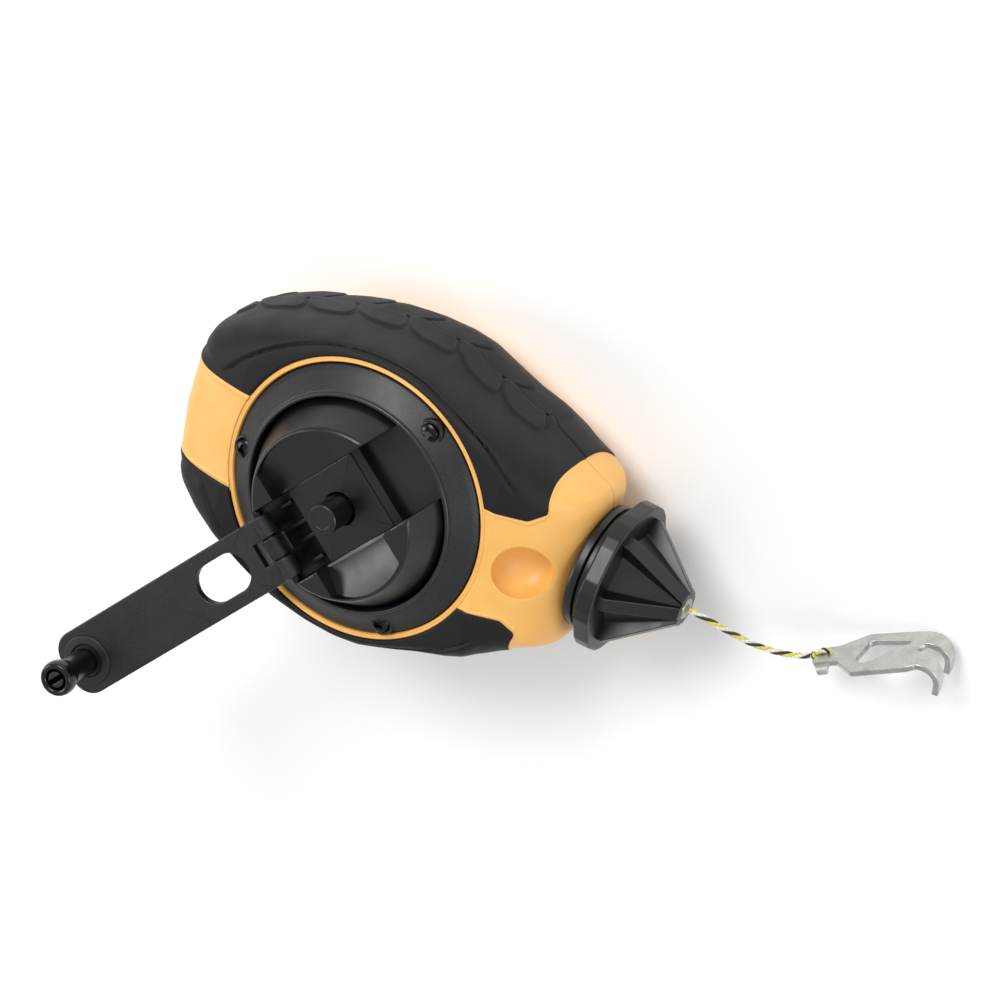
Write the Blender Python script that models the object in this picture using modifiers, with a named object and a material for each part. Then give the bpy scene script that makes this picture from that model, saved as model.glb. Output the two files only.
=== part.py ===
"""Chalk line reel, lying on its back with the crank side up.

The origin is on the middle of the back, at the height of the surface it lies on. +Z runs up the spool's
axis to the crank, +X runs to the nozzle and +Y runs to the upper grip. All lengths are in metres.
"""
import math

import bmesh
import bpy
from mathutils import Matrix, Vector

# ---- driving dimensions ----
THICKNESS = 0.056            # back face to the top of the ring around the crank
MID = THICKNESS / 2          # height of the plane where the two housing halves meet
GAP = 0.0003                 # between pieces that touch
RUN = 0.0004                 # between pieces that turn or slide
WALL = 0.0023                # housing wall under the rubber
RUBBER = 0.0020              # thickness of the rubber grips
RING_R = 0.0420              # outer radius of the housing's ring
POCKET_R = RING_R + 0.0001   # where the grips' pockets stop under the ring
BEZEL_R = RING_R - 0.0020    # outer radius of the bezel
BEZEL_RISE = 0.0047          # how far the bezel's lip stands over the housing's ring
LIP_R = 0.0316               # inner radius of the bezel's lip
LEDGE_R = 0.0343             # opening of the ledge that the bezel sits on
LEDGE_DEPTH = 0.0030         # ring top down to the ledge
LEDGE_THICK = 0.0025
NOSE_SLOPE = math.tan(math.radians(24.5))
REAR_SLOPE = math.tan(math.radians(8.0))
FRONT_POWER = 4.0            # how square the front half's edge is
BACK_POWER = 2.3             # how square the back half's edge is
BASE_SHARE = 0.5             # the flat of the back, as a share of the outline
BACK_GRIP_END = math.radians(38)   # where the back grips stop, from the flat of the back
LEVELS = 5                   # steps from the ring down to the parting plane

NOSE_X = 0.0645              # the nose's end face
# half of the outline in the parting plane, from the nose round the upper grip to the rear
OUTLINE = [(NOSE_X, 0.0000), (NOSE_X, 0.0120), (NOSE_X - 0.0002, 0.0205), (NOSE_X - 0.0020, 0.0245),
           (NOSE_X - 0.0075, 0.0268),
           (0.0523, 0.0288), (0.0475, 0.0315), (0.0390, 0.0348), (0.0295, 0.0370), (0.0210, 0.0400),
           (0.0110, 0.0436), (0.0030, 0.0446), (-0.0070, 0.0444), (-0.0190, 0.0428), (-0.0334, 0.0385),
           (-0.0434, 0.0350), (-0.0533, 0.0303), (-0.0606, 0.0244), (-0.0644, 0.0152), (-0.0655, 0.0000)]
# plan of the upper grip: its rear edge, then its edge along the nose
GRIP_EDGE = [(-0.0750, 0.0150), (-0.0300, 0.0150), (0.0300, 0.0162), (0.0505, 0.0162), (0.0548, 0.0195),
             (0.0536, 0.0255), (0.0524, 0.0300), (0.0550, 0.0600), (-0.0750, 0.0600)]

DIMPLE_X = 0.0524            # knob's parking place, from the spool's axis
DIMPLE_R = 0.0082
SCREW_POSTS = [(-0.0425, 0.0140), (-0.0425, -0.0140), (0.0445, 0.0175), (0.0445, -0.0175)]
POST_R = 0.0037
POST_TOP = THICKNESS - 0.0045
SCREW_SHANK_R = 0.0014
SCREW_HEAD_R = 0.0029
SCREW_HEAD_Z = 0.0075
SCREW_HEAD_H = 0.0022

BEZEL_SCREW_R = BEZEL_R - 0.0032
BEZEL_SCREW_ANGLES = [60.0, 180.0, 300.0]
BEZEL_SCREW_HEAD_R = 0.0028
BEZEL_BOSS_R = 0.0024
BEZEL_SCREW_HEAD_Z = THICKNESS - 0.0006

# clutch button
BUTTON_R = 0.0045
BUTTON_TOP = THICKNESS + 0.0174
BUTTON_FLANGE_R = BUTTON_R + 0.0015
BUTTON_FLANGE_Z = THICKNESS + 0.0030
SPRING_WIRE_R = 0.0004
SPRING_R = BUTTON_R - 0.0007
SPRING_TURNS = 4

# crank disc
DISC_R = LIP_R - RUN
DISC_FLANGE_R = LEDGE_R - RUN
DISC_BASE_Z = THICKNESS - 0.0098
DRUM_R = 0.0258              # flat top of the disc's dome
DRUM_Z = THICKNESS + 0.0138
VALLEY_Z = THICKNESS + 0.0018
SCOOP_R = DRUM_R - 0.0013    # a fingertip's scoop on each side of the folded arm
SCOOP_ENDS = (-0.0125, 0.0140)
BAR_HALF = 0.0118
BLOCK_Z = THICKNESS + 0.0080
BLOCK_NEAR = 0.0123          # hinge side end of the block
BLOCK_FAR = 0.0133
FLOOR_Z = THICKNESS + 0.0030  # floor of the arm's channel past the block
TROUGH_Z = THICKNESS + 0.0020  # and between the block and the hinge
ARM_ANGLE = math.radians(231.7)
HINGE_D = 0.0250             # disc axis to hinge
HINGE_Z = THICKNESS + 0.0093
HINGE_PIN_R = 0.0015
HINGE_PIN_LENGTH = 0.0230
KNUCKLE_HALF = 0.0031
KNUCKLE_R = HINGE_PIN_R + 0.0016

# crank arm, open
ARM_HALF = 0.0100
ARM_THICK = 0.0026
ARM_TOP = -0.0005            # the arm's upper face, from the hinge axis
ARM_LENGTH = 0.0770          # hinge to knob
ARM_END_R = 0.0082
ARM_LIFT = math.radians(7.0)  # the open arm rises from the hinge to the knob
EAR_R = HINGE_PIN_R + 0.0014
SLOT_START = 0.0120
SLOT_END = 0.0310
SLOT_HALF = BUTTON_R + 0.0015
KNOB_R = 0.0040
KNOB_END_R = 0.0052
KNOB_LENGTH = 0.0185
KNOB_BORE_R = 0.0029
KNOB_POST_R = KNOB_BORE_R - RUN
PRONG_SLOT = 0.0014

# gear train, all in one plane between the gear plate and the disc
MODULE = 0.0011
SUN_TEETH = 12
PLANET_TEETH = 12
RING_TEETH = 36
PLANET_ANGLES = [0.0, 120.0, 240.0]
GEAR_HIGH = DISC_BASE_Z - 0.0016
GEAR_LOW = GEAR_HIGH - 0.0054
RING_GEAR_R = MODULE * RING_TEETH / 2 + 0.0047
PLATE_HIGH = GEAR_LOW - 0.0014
PLATE_LOW = PLATE_HIGH - 0.0025
PLATE_R = 0.0386
PLANET_PIN_R = 0.0015

AXLE_R = 0.0028
AXLE_LOW = 0.0030
SUN_HUB_R = AXLE_R + 0.0024
SPOOL_LOW = 0.0072
SPOOL_HIGH = PLATE_LOW - 0.0028
SPOOL_FLANGE_R = 0.0330
SPOOL_FLANGE = 0.0015
SPOOL_HUB_R = 0.0120
WINDING_R = 0.0270

# nozzle and line, along +X at the height of the parting plane
COLLAR_R = 0.0184
COLLAR_LENGTH = 0.0042
COLLAR_SPIGOT_R = 0.0104
COLLAR_BORE_R = 0.0078
SPIGOT_X = NOSE_X - 0.0105
NOZZLE_X = NOSE_X + 0.0003 + COLLAR_LENGTH + 0.0006
NOZZLE_FLANGE = 0.0050
NOZZLE_FLANGE_R = 0.0222
NOZZLE_TIP_X = NOSE_X + 0.0290
NOZZLE_TIP_R = 0.0056
CONE_R = 0.0140
RIB_HALF = 0.0021
NOZZLE_PLUG_R = COLLAR_BORE_R - RUN
PLUG_X = NOSE_X - 0.0085
EYELET_R = 0.0031
LINE_D = 0.0018
LINE_BORE_R = 0.0014

RUN_ROUTE = [(0.0162, -0.0240, 0.0235), (0.0330, -0.0118, 0.0260), (0.0430, -0.0030, 0.0277),
             (0.0470, -0.0001, MID), (0.0490, 0.0, MID)]
LINE_EXIT = (NOZZLE_TIP_X + 0.0010, 0.0, MID)
LINE_ROUTE = [LINE_EXIT, (0.0975, -0.0001, MID - 0.0002), (0.1020, -0.0013, 0.0262), (0.1070, -0.0040, 0.0222),
              (0.1120, -0.0066, 0.0178), (0.1170, -0.0080, 0.0140), (0.1215, -0.0079, 0.0118),
              (0.1250, -0.0068, 0.0109), (0.1277, -0.0053, 0.0107)]
HOOK_ORIGIN = (0.1289, -0.0030, 0.0022)
HOOK_ANGLE = math.radians(32.4)
HOOK_LEAN = math.radians(13.0)
HOOK_THICK = 0.0018
HOOK_END = 0.0325            # where the claws start, along the hook
HOOK_OUTLINE = [(-0.0015, 0.0060), (0.0050, 0.0050), (0.0090, 0.0024), (0.0125, 0.0002),
                (HOOK_END - 0.0040, 0.0008), (HOOK_END, 0.0012), (HOOK_END, 0.0080), (HOOK_END - 0.0030, 0.0098),
                (HOOK_END, 0.0116), (HOOK_END, 0.0180), (0.0120, 0.0189), (0.0065, 0.0125), (-0.0015, 0.0125)]
HOOK_HOLE = [(0.0130, 0.0045), (0.0155, 0.0038), (0.0255, 0.0052), (0.0255, 0.0092), (0.0130, 0.0145),
             (0.0120, 0.0120)]
CLAW_LENGTH = 0.0095
CLAW_WIDTH = 0.0060

YELLOW = (0.86, 0.52, 0.14)
RUBBER_BLACK = (0.032, 0.032, 0.034)
BLACK = (0.022, 0.024, 0.027)
STEEL = (0.55, 0.55, 0.53)
FELT = (0.70, 0.68, 0.60)
NYLON = (0.80, 0.79, 0.74)
LINE = (0.62, 0.58, 0.30)


# ---- small helpers ----
def new_collection(name):
    collection = bpy.data.collections.new(name)
    bpy.context.scene.collection.children.link(collection)
    return collection


def new_material(name, color, roughness, metallic=0.0):
    material = bpy.data.materials.new(name)
    material.use_nodes = True
    shader = material.node_tree.nodes["Principled BSDF"]
    shader.inputs["Base Color"].default_value = (*color, 1.0)
    shader.inputs["Roughness"].default_value = roughness
    shader.inputs["Metallic"].default_value = metallic
    return material


def add_mesh(name, build, material=None):
    """A new object whose mesh is made by build(bm). With no material it is a cutter."""
    mesh = bpy.data.meshes.new(name)
    bm = bmesh.new()
    build(bm)
    bm.to_mesh(mesh)
    bm.free()
    return add_object(name, mesh, material)


def add_object(name, mesh, material=None):
    item = bpy.data.objects.new(name, mesh)
    if material is None:
        CUTTERS.objects.link(item)
        item.hide_render = True
        item.display_type = "WIRE"
    else:
        PARTS.objects.link(item)
        mesh.materials.append(material)
        mesh.shade_smooth()
        mesh.set_sharp_from_angle(angle=math.radians(35))
    return item


def boolean(target, cutter, operation="DIFFERENCE"):
    modifier = target.modifiers.new(operation.lower(), "BOOLEAN")
    modifier.operation = operation
    modifier.object = cutter
    modifier.solver = "EXACT"


def cylinder(bm, radius, low, high, centre=(0.0, 0.0), radius_high=None, sides=32, turn=None):
    """A cylinder or cone along Z from low to high, then moved by turn."""
    matrix = Matrix.Translation((centre[0], centre[1], (low + high) / 2))
    if turn is not None:
        matrix = turn @ matrix
    top = radius if radius_high is None else radius_high
    bmesh.ops.create_cone(bm, cap_ends=True, segments=sides, radius1=radius, radius2=top,
                          depth=high - low, matrix=matrix)


def box(bm, low, high, turn=None):
    """A box between two corners, then moved by turn."""
    low, high = Vector(low), Vector(high)
    size = high - low
    matrix = Matrix.Translation((low + high) / 2) @ Matrix.Diagonal((*size, 1.0))
    if turn is not None:
        matrix = turn @ matrix
    bmesh.ops.create_cube(bm, size=1.0, matrix=matrix)


def turned(name, profile, material=None, steps=64, closed=True, along_x=False, centre=(0.0, 0.0)):
    """Turn a profile of (radius, height) points that runs down its outer side. A profile that isn't closed
    starts and ends on the axis. along_x lays the axis along +X at the height of the parting plane."""
    mesh = bpy.data.meshes.new(name)
    points = [(radius, 0.0, height) for radius, height in profile]
    edges = [(i, i + 1) for i in range(len(points) - 1)]
    if closed:
        edges.append((len(points) - 1, 0))
    mesh.from_pydata(points, edges, [])
    item = add_object(name, mesh, material)
    screw = item.modifiers.new("turn", "SCREW")
    screw.axis = "Z"
    screw.angle = math.tau
    screw.steps = steps
    screw.render_steps = steps
    screw.use_merge_vertices = True
    screw.merge_threshold = 0.00001
    screw.use_smooth_shade = False
    if along_x:
        item.location = (0.0, 0.0, MID)
        item.rotation_euler = (0.0, math.pi / 2, 0.0)
    else:
        item.location = (centre[0], centre[1], 0.0)
    return item


def flat_plate(name, outlines, low, high, material=None, turn=None):
    """A flat outline, with any inner outlines as holes, from low to high, then moved by turn."""
    curve = bpy.data.curves.new(name + "_outline", "CURVE")
    curve.dimensions = "2D"
    curve.fill_mode = "BOTH"
    curve.extrude = (high - low) / 2
    for outline in outlines:
        spline = curve.splines.new("POLY")
        spline.points.add(len(outline) - 1)
        for point, (x, y) in zip(spline.points, outline):
            point.co = (x, y, 0.0, 1.0)
        spline.use_cyclic_u = True
    return mesh_from_curve(name, curve, material, Matrix.Translation((0, 0, (low + high) / 2)), turn)


def mesh_from_curve(name, curve, material, matrix=None, turn=None):
    guide = bpy.data.objects.new(name + "_curve", curve)
    bpy.context.scene.collection.objects.link(guide)
    graph = bpy.context.evaluated_depsgraph_get()
    mesh = bpy.data.meshes.new_from_object(guide.evaluated_get(graph))
    bpy.data.objects.remove(guide)
    bm = bmesh.new()
    bm.from_mesh(mesh)
    bmesh.ops.remove_doubles(bm, verts=bm.verts, dist=0.000001)
    if matrix is not None:
        bm.transform(matrix)
    if turn is not None:
        bm.transform(turn)
    bm.to_mesh(mesh)
    bm.free()
    return add_object(name, mesh, material)


def tube(name, points, radius, material, resolution=2):
    """A round cord or wire along a list of points."""
    curve = bpy.data.curves.new(name + "_path", "CURVE")
    curve.dimensions = "3D"
    curve.bevel_depth = radius
    curve.bevel_resolution = resolution
    curve.use_fill_caps = True
    spline = curve.splines.new("POLY")
    spline.points.add(len(points) - 1)
    for point, place in zip(spline.points, points):
        point.co = (*place, 1.0)
    return mesh_from_curve(name, curve, material)


def smooth_path(points, steps):
    """Points along a Catmull-Rom curve that passes through the given points."""
    places = [Vector(point) for point in points]
    count = len(places)
    path = []
    for i in range(count - 1):
        before, start = places[max(i - 1, 0)], places[i]
        end, after = places[i + 1], places[min(i + 2, count - 1)]
        for k in range(steps):
            t = k / steps
            path.append(0.5 * (2 * start + (end - before) * t
                               + (2 * before - 5 * start + 4 * end - after) * t * t
                               + (3 * start - before - 3 * end + after) * t * t * t))
    path.append(places[-1])
    return path


def loft(name, rings, material=None, closed=False):
    """A closed skin through rings of points with the same count: round again to the first ring, or capped
    at both ends."""
    def build(bm):
        rows = [[bm.verts.new(point) for point in ring] for ring in rings]
        count = len(rows[0])
        pairs = list(zip(rows, rows[1:]))
        if closed:
            pairs.append((rows[-1], rows[0]))
        for low, high in pairs:
            for i in range(count):
                k = (i + 1) % count
                bm.faces.new((low[i], low[k], high[k], high[i]))
        if not closed:
            bm.faces.new(list(reversed(rows[0])))
            bm.faces.new(rows[-1])
        bmesh.ops.recalc_face_normals(bm, faces=bm.faces)
        bmesh.ops.triangulate(bm, faces=bm.faces)
    return add_mesh(name, build, material)


# ---- body form ----
def outline_points(inset):
    """The whole plan outline, counterclockwise from the nose. Its wall is moved inwards by inset, along
    lines from the spool's axis, so tight corners don't fold over."""
    lower = [(x, -y) for x, y in reversed(OUTLINE[1:-1])]
    path = [Vector((x, y, 0.0)) for x, y in OUTLINE + lower]
    count = len(path)
    moved = []
    for i, point in enumerate(path):
        along = (path[(i + 1) % count] - path[i - 1]).normalized()
        outward = Vector((along.y, -along.x, 0.0))
        lean = max(outward.dot(point.normalized()), 0.4)
        share = 1 - inset / lean / point.length
        moved.append((point.x * share, point.y * share))
    return moved


def front_height(x, top):
    """Height of the front face over the parting plane: it slopes down along the nose and the rear."""
    return top - NOSE_SLOPE * max(0.0, x - RING_R) - REAR_SLOPE * max(0.0, -x - RING_R)


def front_rings(ring_r, inset, top, steps=LEVELS):
    """Rings from a circle at the top out and down to the outline in the parting plane."""
    outer = outline_points(inset)
    rings = []
    for i in range(steps + 1):
        angle = math.pi / 2 * i / steps
        spread = math.sin(angle) ** (2 / FRONT_POWER)
        rise = max(math.cos(angle), 0.0) ** (2 / FRONT_POWER)
        ring = []
        for x, y in outer:
            reach = ring_r / math.hypot(x, y)
            px = x * (reach + (1 - reach) * spread)
            py = y * (reach + (1 - reach) * spread)
            ring.append((px, py, MID + GAP / 2 + rise * (front_height(px, top) - GAP / 2)))
        rings.append(ring)
    return rings


def back_rings(inset, depth, start=0.0, steps=LEVELS):
    """Rings from the flat of the back out and up to the outline in the parting plane."""
    outer = outline_points(inset)
    rings = []
    for i in range(steps + 1):
        angle = start + (math.pi / 2 - start) * i / steps
        spread = math.sin(angle) ** (2 / BACK_POWER)
        drop = max(math.cos(angle), 0.0) ** (2 / BACK_POWER)
        share = BASE_SHARE + (1 - BASE_SHARE) * spread
        ring = [(x * share, y * share, MID - GAP / 2 - drop * (depth - GAP / 2)) for x, y in outer]
        rings.append(ring)
    return rings


def at_height(ring, height):
    return [(x, y, height) for x, y, _ in ring]


def front_point(x, depth):
    """A point on the nose's sloping front face at y = 0, and depth under it."""
    slope = math.atan(NOSE_SLOPE)
    height = MID + front_height(x, MID)
    return Vector((x - depth * math.sin(slope), 0.0, height - depth * math.cos(slope)))


# ---- housing ----
def grip_plan(mirror, margin):
    """Plan of the upper grip, or of the lower one, grown by margin."""
    side = -1 if mirror else 1
    outline = []
    count = len(GRIP_EDGE)
    for i, (x, y) in enumerate(GRIP_EDGE):
        before, after = Vector(GRIP_EDGE[i - 1]), Vector(GRIP_EDGE[(i + 1) % count])
        along = (after - before).normalized()
        outline.append((x + margin * along.y, side * (y - margin * along.x)))
    return outline


def grip_prism(name, mirrors, margin):
    """Upright prisms over the grips' plans, grown by margin."""
    return flat_plate(name, [grip_plan(mirror, margin) for mirror in mirrors], -0.02, 0.10)


def front_layer(name, material, skin, depth, ring_r, below):
    """Closed layer over the front half, from skin outside the surface to depth under it."""
    outer = front_rings(ring_r, -skin, MID + skin)
    inner = front_rings(ring_r, depth, MID - depth)
    rings = outer + [at_height(outer[-1], below), at_height(inner[-1], below)] if below else list(outer)
    return loft(name, rings + list(reversed(inner)), material, closed=True)


def back_layer(name, material, skin, depth, start, above):
    outer = back_rings(-skin, MID + skin, start)
    inner = back_rings(depth, MID - depth, start)
    rings = outer + [at_height(outer[-1], above), at_height(inner[-1], above)] if above else list(outer)
    return loft(name, rings + list(reversed(inner)), material, closed=True)


def grips():
    """Rubber overmoulds on both long sides of both halves."""
    for mirror, word in ((False, "top"), (True, "bottom")):
        front = front_layer("grip_" + word + "_front", MAT["rubber"], 0.0, RUBBER, POCKET_R + GAP, None)
        boolean(front, grip_prism("plan_front_" + word, [mirror], 0.0), "INTERSECT")
        back = back_layer("grip_" + word + "_back", MAT["rubber"], 0.0, RUBBER, BACK_GRIP_END, None)
        boolean(back, grip_prism("plan_back_" + word, [mirror], 0.0), "INTERSECT")


def grip_pockets():
    """Cutters for the pockets that hold the grips in the front and the back half."""
    start = BACK_GRIP_END - math.radians(1.2)
    front = front_layer("pocket_front", None, 0.001, RUBBER + GAP, POCKET_R, MID - 0.001)
    back = back_layer("pocket_back", None, 0.001, RUBBER + GAP, start, MID + 0.001)
    for pocket in (front, back):
        boolean(pocket, grip_prism(pocket.name + "_plan", [False, True], GAP), "INTERSECT")
    return front, back


def nose_bore():
    """Bore through the nose's end wall, along +X."""
    turn = Matrix.Translation((0, 0, MID)) @ Matrix.Rotation(math.pi / 2, 4, "Y")
    return add_mesh("nose_bore", lambda bm: cylinder(bm, COLLAR_SPIGOT_R + GAP, 0.046, 0.075, turn=turn))


def housing_front(pocket, bore):
    inset = WALL + RUBBER + GAP
    outer = front_rings(RING_R, 0.0, MID)
    inner = front_rings(LEDGE_R - 0.002, inset, MID - LEDGE_DEPTH - LEDGE_THICK)
    ledge = THICKNESS - LEDGE_DEPTH
    rings = list(reversed(outer)) + [at_height(inner[0], THICKNESS)] + inner
    item = loft("housing_front", rings, MAT["yellow"], closed=True)

    def posts(bm):
        for x, y in SCREW_POSTS:
            cylinder(bm, POST_R, MID + GAP / 2, POST_TOP, (x, y), sides=16)
        for angle in (90.0, 270.0):
            turn = Matrix.Rotation(math.radians(angle), 4, "Z")
            box(bm, (0.0352, -0.002, PLATE_HIGH + GAP), (0.0388, 0.002, ledge - 0.001), turn)
        for angle in BEZEL_SCREW_ANGLES:
            centre = on_circle(BEZEL_SCREW_R, angle)
            cylinder(bm, BEZEL_BOSS_R, ledge - 0.0085, ledge - 0.001, centre, sides=12)
    boolean(item, add_mesh("front_posts", posts), "UNION")
    slope = Matrix.Rotation(math.atan(NOSE_SLOPE), 4, "Y")
    tilt = Matrix.Translation(front_point(DIMPLE_X, 0.0)) @ slope
    cup = add_mesh("dimple_cup", lambda bm: cylinder(bm, DIMPLE_R + 0.002, -DIMPLE_R - 0.002, -0.003,
                                                     sides=20, turn=tilt))
    boolean(item, cup, "UNION")

    def dimple(bm):
        bmesh.ops.create_uvsphere(bm, u_segments=20, v_segments=12, radius=DIMPLE_R, matrix=tilt)
    boolean(item, add_mesh("dimple", dimple))

    def holes(bm):
        for x, y in SCREW_POSTS:
            cylinder(bm, SCREW_SHANK_R + GAP, MID - 0.002, POST_TOP - 0.004, (x, y), sides=12)
        for angle in BEZEL_SCREW_ANGLES:
            centre = on_circle(BEZEL_SCREW_R, angle)
            cylinder(bm, SCREW_SHANK_R - 0.0003, ledge - 0.0078, ledge + 0.002, centre, sides=12)
    boolean(item, add_mesh("front_holes", holes))
    seat = [(BEZEL_R + GAP, 0.07), (BEZEL_R + GAP, ledge), (LEDGE_R, ledge), (LEDGE_R, 0.044), (0.0, 0.044)]
    boolean(item, turned("bezel_seat", [(0.0, 0.07)] + seat, None, 48, closed=False))
    boolean(item, bore)
    boolean(item, pocket)


def housing_back(pocket, bore):
    outer = back_rings(0.0, MID)
    inset = WALL + RUBBER + GAP
    inner = back_rings(inset, MID - WALL)
    item = loft("housing_back", outer + list(reversed(inner)), MAT["yellow"])

    def posts(bm):
        for x, y in SCREW_POSTS:
            cylinder(bm, POST_R + 0.001, 0.0043, MID - GAP / 2, (x, y), sides=16)
        for angle in (90.0, 270.0):
            turn = Matrix.Rotation(math.radians(angle), 4, "Z")
            box(bm, (0.0352, -0.002, 0.0100), (0.0385, 0.002, PLATE_LOW - GAP), turn)
        cylinder(bm, AXLE_R + 0.003, 0.001, 0.0050, sides=24)
    boolean(item, add_mesh("back_posts", posts), "UNION")

    def head_holes(bm):
        for x, y in SCREW_POSTS:
            cylinder(bm, SCREW_HEAD_R + GAP, -0.002, SCREW_HEAD_Z + SCREW_HEAD_H + GAP, (x, y), sides=16)
        cylinder(bm, AXLE_R + GAP, AXLE_LOW - GAP, 0.008, sides=24)
    boolean(item, add_mesh("head_holes", head_holes))

    def shank_holes(bm):
        for x, y in SCREW_POSTS:
            cylinder(bm, SCREW_SHANK_R + GAP, SCREW_HEAD_Z, MID + 0.001, (x, y), sides=12)
    boolean(item, add_mesh("shank_holes", shank_holes))
    boolean(item, bore)
    boolean(item, pocket)


def on_circle(radius, degrees):
    angle = math.radians(degrees)
    return (radius * math.cos(angle), radius * math.sin(angle))


def housing_screws():
    top = SCREW_HEAD_Z + SCREW_HEAD_H
    profile = [(0.0, POST_TOP - 0.005), (SCREW_SHANK_R, POST_TOP - 0.0065), (SCREW_SHANK_R, top),
               (SCREW_HEAD_R, top), (SCREW_HEAD_R, SCREW_HEAD_Z + 0.0006),
               (SCREW_HEAD_R - 0.0008, SCREW_HEAD_Z), (0.0, SCREW_HEAD_Z)]
    for i, centre in enumerate(SCREW_POSTS):
        turned("housing_screw_%d" % (i + 1), profile, MAT["steel"], 12, closed=False, centre=centre)


# ---- bezel ----
def bezel():
    top = THICKNESS + BEZEL_RISE
    floor = THICKNESS - LEDGE_DEPTH + GAP
    skirt = THICKNESS - LEDGE_DEPTH - LEDGE_THICK
    profile = [(LIP_R + 0.0008, top), (LIP_R + 0.0014, top - 0.0002), (LIP_R + 0.0022, top - 0.0010),
               (BEZEL_R - 0.0015, THICKNESS + 0.0008), (BEZEL_R, THICKNESS - 0.0006), (BEZEL_R, floor),
               (LEDGE_R - GAP, floor), (LEDGE_R - GAP, skirt), (LIP_R, skirt), (LIP_R, top - 0.0007)]
    item = turned("front_bezel", profile, MAT["black"], 48)

    for word, radius, low in (("recess", BEZEL_SCREW_HEAD_R + GAP, BEZEL_SCREW_HEAD_Z - GAP),
                              ("hole", SCREW_SHANK_R + GAP, floor - 0.001)):
        def holes(bm, radius=radius, low=low):
            for angle in BEZEL_SCREW_ANGLES:
                cylinder(bm, radius, low, top, on_circle(BEZEL_SCREW_R, angle), sides=20)
        boolean(item, add_mesh("bezel_" + word, holes))


def bezel_screws():
    low = BEZEL_SCREW_HEAD_Z
    shank = SCREW_SHANK_R - 0.0006
    profile = [(0.0, low + 0.0020), (BEZEL_SCREW_HEAD_R - 0.0008, low + 0.0018),
               (BEZEL_SCREW_HEAD_R, low + 0.0010), (BEZEL_SCREW_HEAD_R, low), (shank, low),
               (shank, THICKNESS - LEDGE_DEPTH - 0.006), (0.0, THICKNESS - LEDGE_DEPTH - 0.007)]
    for i, angle in enumerate(BEZEL_SCREW_ANGLES):
        centre = on_circle(BEZEL_SCREW_R, angle)
        turned("bezel_screw_%d" % (i + 1), profile, MAT["steel"], 12, closed=False, centre=centre)


# ---- crank ----
def arm_frame(offset=0.0, height=0.0):
    """A frame whose +X runs from the disc's axis along the open arm, moved out along it."""
    return Matrix.Rotation(ARM_ANGLE, 4, "Z") @ Matrix.Translation((offset, 0.0, height))


def lifted_frame():
    """A frame at the hinge whose +X runs along the open arm, which rises a little to its knob."""
    return arm_frame(HINGE_D, HINGE_Z) @ Matrix.Rotation(-ARM_LIFT, 4, "Y")


def crank_disc():
    """Domed disc with a stepped channel for the folded arm, and a sloping scoop on each side of it."""
    base = DISC_BASE_Z
    flange = THICKNESS - LEDGE_DEPTH - LEDGE_THICK - RUN
    profile = [(0.0, DRUM_Z), (DRUM_R - 0.0010, DRUM_Z), (DRUM_R, DRUM_Z - 0.0010),
               (DISC_R, VALLEY_Z), (DISC_R, flange), (DISC_FLANGE_R, flange), (DISC_FLANGE_R, base), (0.0, base)]
    item = turned("crank_disc", profile, MAT["black"], 48, closed=False)
    turn = arm_frame()
    upright = turn @ Matrix.Rotation(math.pi / 2, 4, "X")
    high = DRUM_Z + 0.01
    floor = [(-0.04, FLOOR_Z), (-BLOCK_FAR, FLOOR_Z), (-BLOCK_FAR, BLOCK_Z), (BLOCK_NEAR, BLOCK_Z),
             (BLOCK_NEAR, TROUGH_Z), (0.04, TROUGH_Z), (0.04, high), (-0.04, high)]
    boolean(item, flat_plate("channel", [floor], -BAR_HALF, BAR_HALF, None, upright))

    low, start = BLOCK_Z + 0.0003, BAR_HALF - 0.0006
    slope = [(start, low), (SCOOP_R + 0.001, DRUM_Z - 0.0005), (SCOOP_R + 0.001, high), (start, high)]
    for sign in (1.0, -1.0):
        outline = [(y * sign, z) for y, z in slope]
        across = Matrix((Vector((0, 1, 0)), Vector((0, 0, 1)), Vector((1, 0, 0)))).transposed().to_4x4()
        name = "scoop_left" if sign < 0 else "scoop_right"
        cutter = flat_plate(name, [outline if sign > 0 else outline[::-1]], *SCOOP_ENDS, None, turn @ across)

        def limit(bm):
            cylinder(bm, SCOOP_R, BLOCK_Z - 0.01, high + 0.01, sides=48)
        boolean(cutter, add_mesh(name + "_limit", limit), "INTERSECT")
        boolean(item, cutter)

    side = arm_frame(HINGE_D, HINGE_Z) @ Matrix.Rotation(math.pi / 2, 4, "X")

    def stem(bm):
        box(bm, (HINGE_D - KNUCKLE_R + 0.0002, 0.0002 - KNUCKLE_HALF, base + 0.004),
            (HINGE_D + KNUCKLE_R - 0.0002, KNUCKLE_HALF - 0.0002, HINGE_Z - 0.0004), turn)

    def knuckle(bm):
        cylinder(bm, KNUCKLE_R, -KNUCKLE_HALF, KNUCKLE_HALF, sides=24, turn=side)

    def pin_hole(bm):
        cylinder(bm, HINGE_PIN_R + GAP, -0.02, 0.02, sides=20, turn=side)

    def button_hole(bm):
        cylinder(bm, BUTTON_R + RUN, base - 0.002, BLOCK_Z + 0.002, sides=32)

    def flange_hole(bm):
        cylinder(bm, BUTTON_FLANGE_R + RUN, base - 0.002, BUTTON_FLANGE_Z + 0.0016 + GAP, sides=32)
    boolean(item, add_mesh("knuckle_stem", stem), "UNION")
    boolean(item, add_mesh("knuckle", knuckle), "UNION")
    for cut in (pin_hole, button_hole, flange_hole):
        boolean(item, add_mesh("disc_" + cut.__name__, cut))


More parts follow.
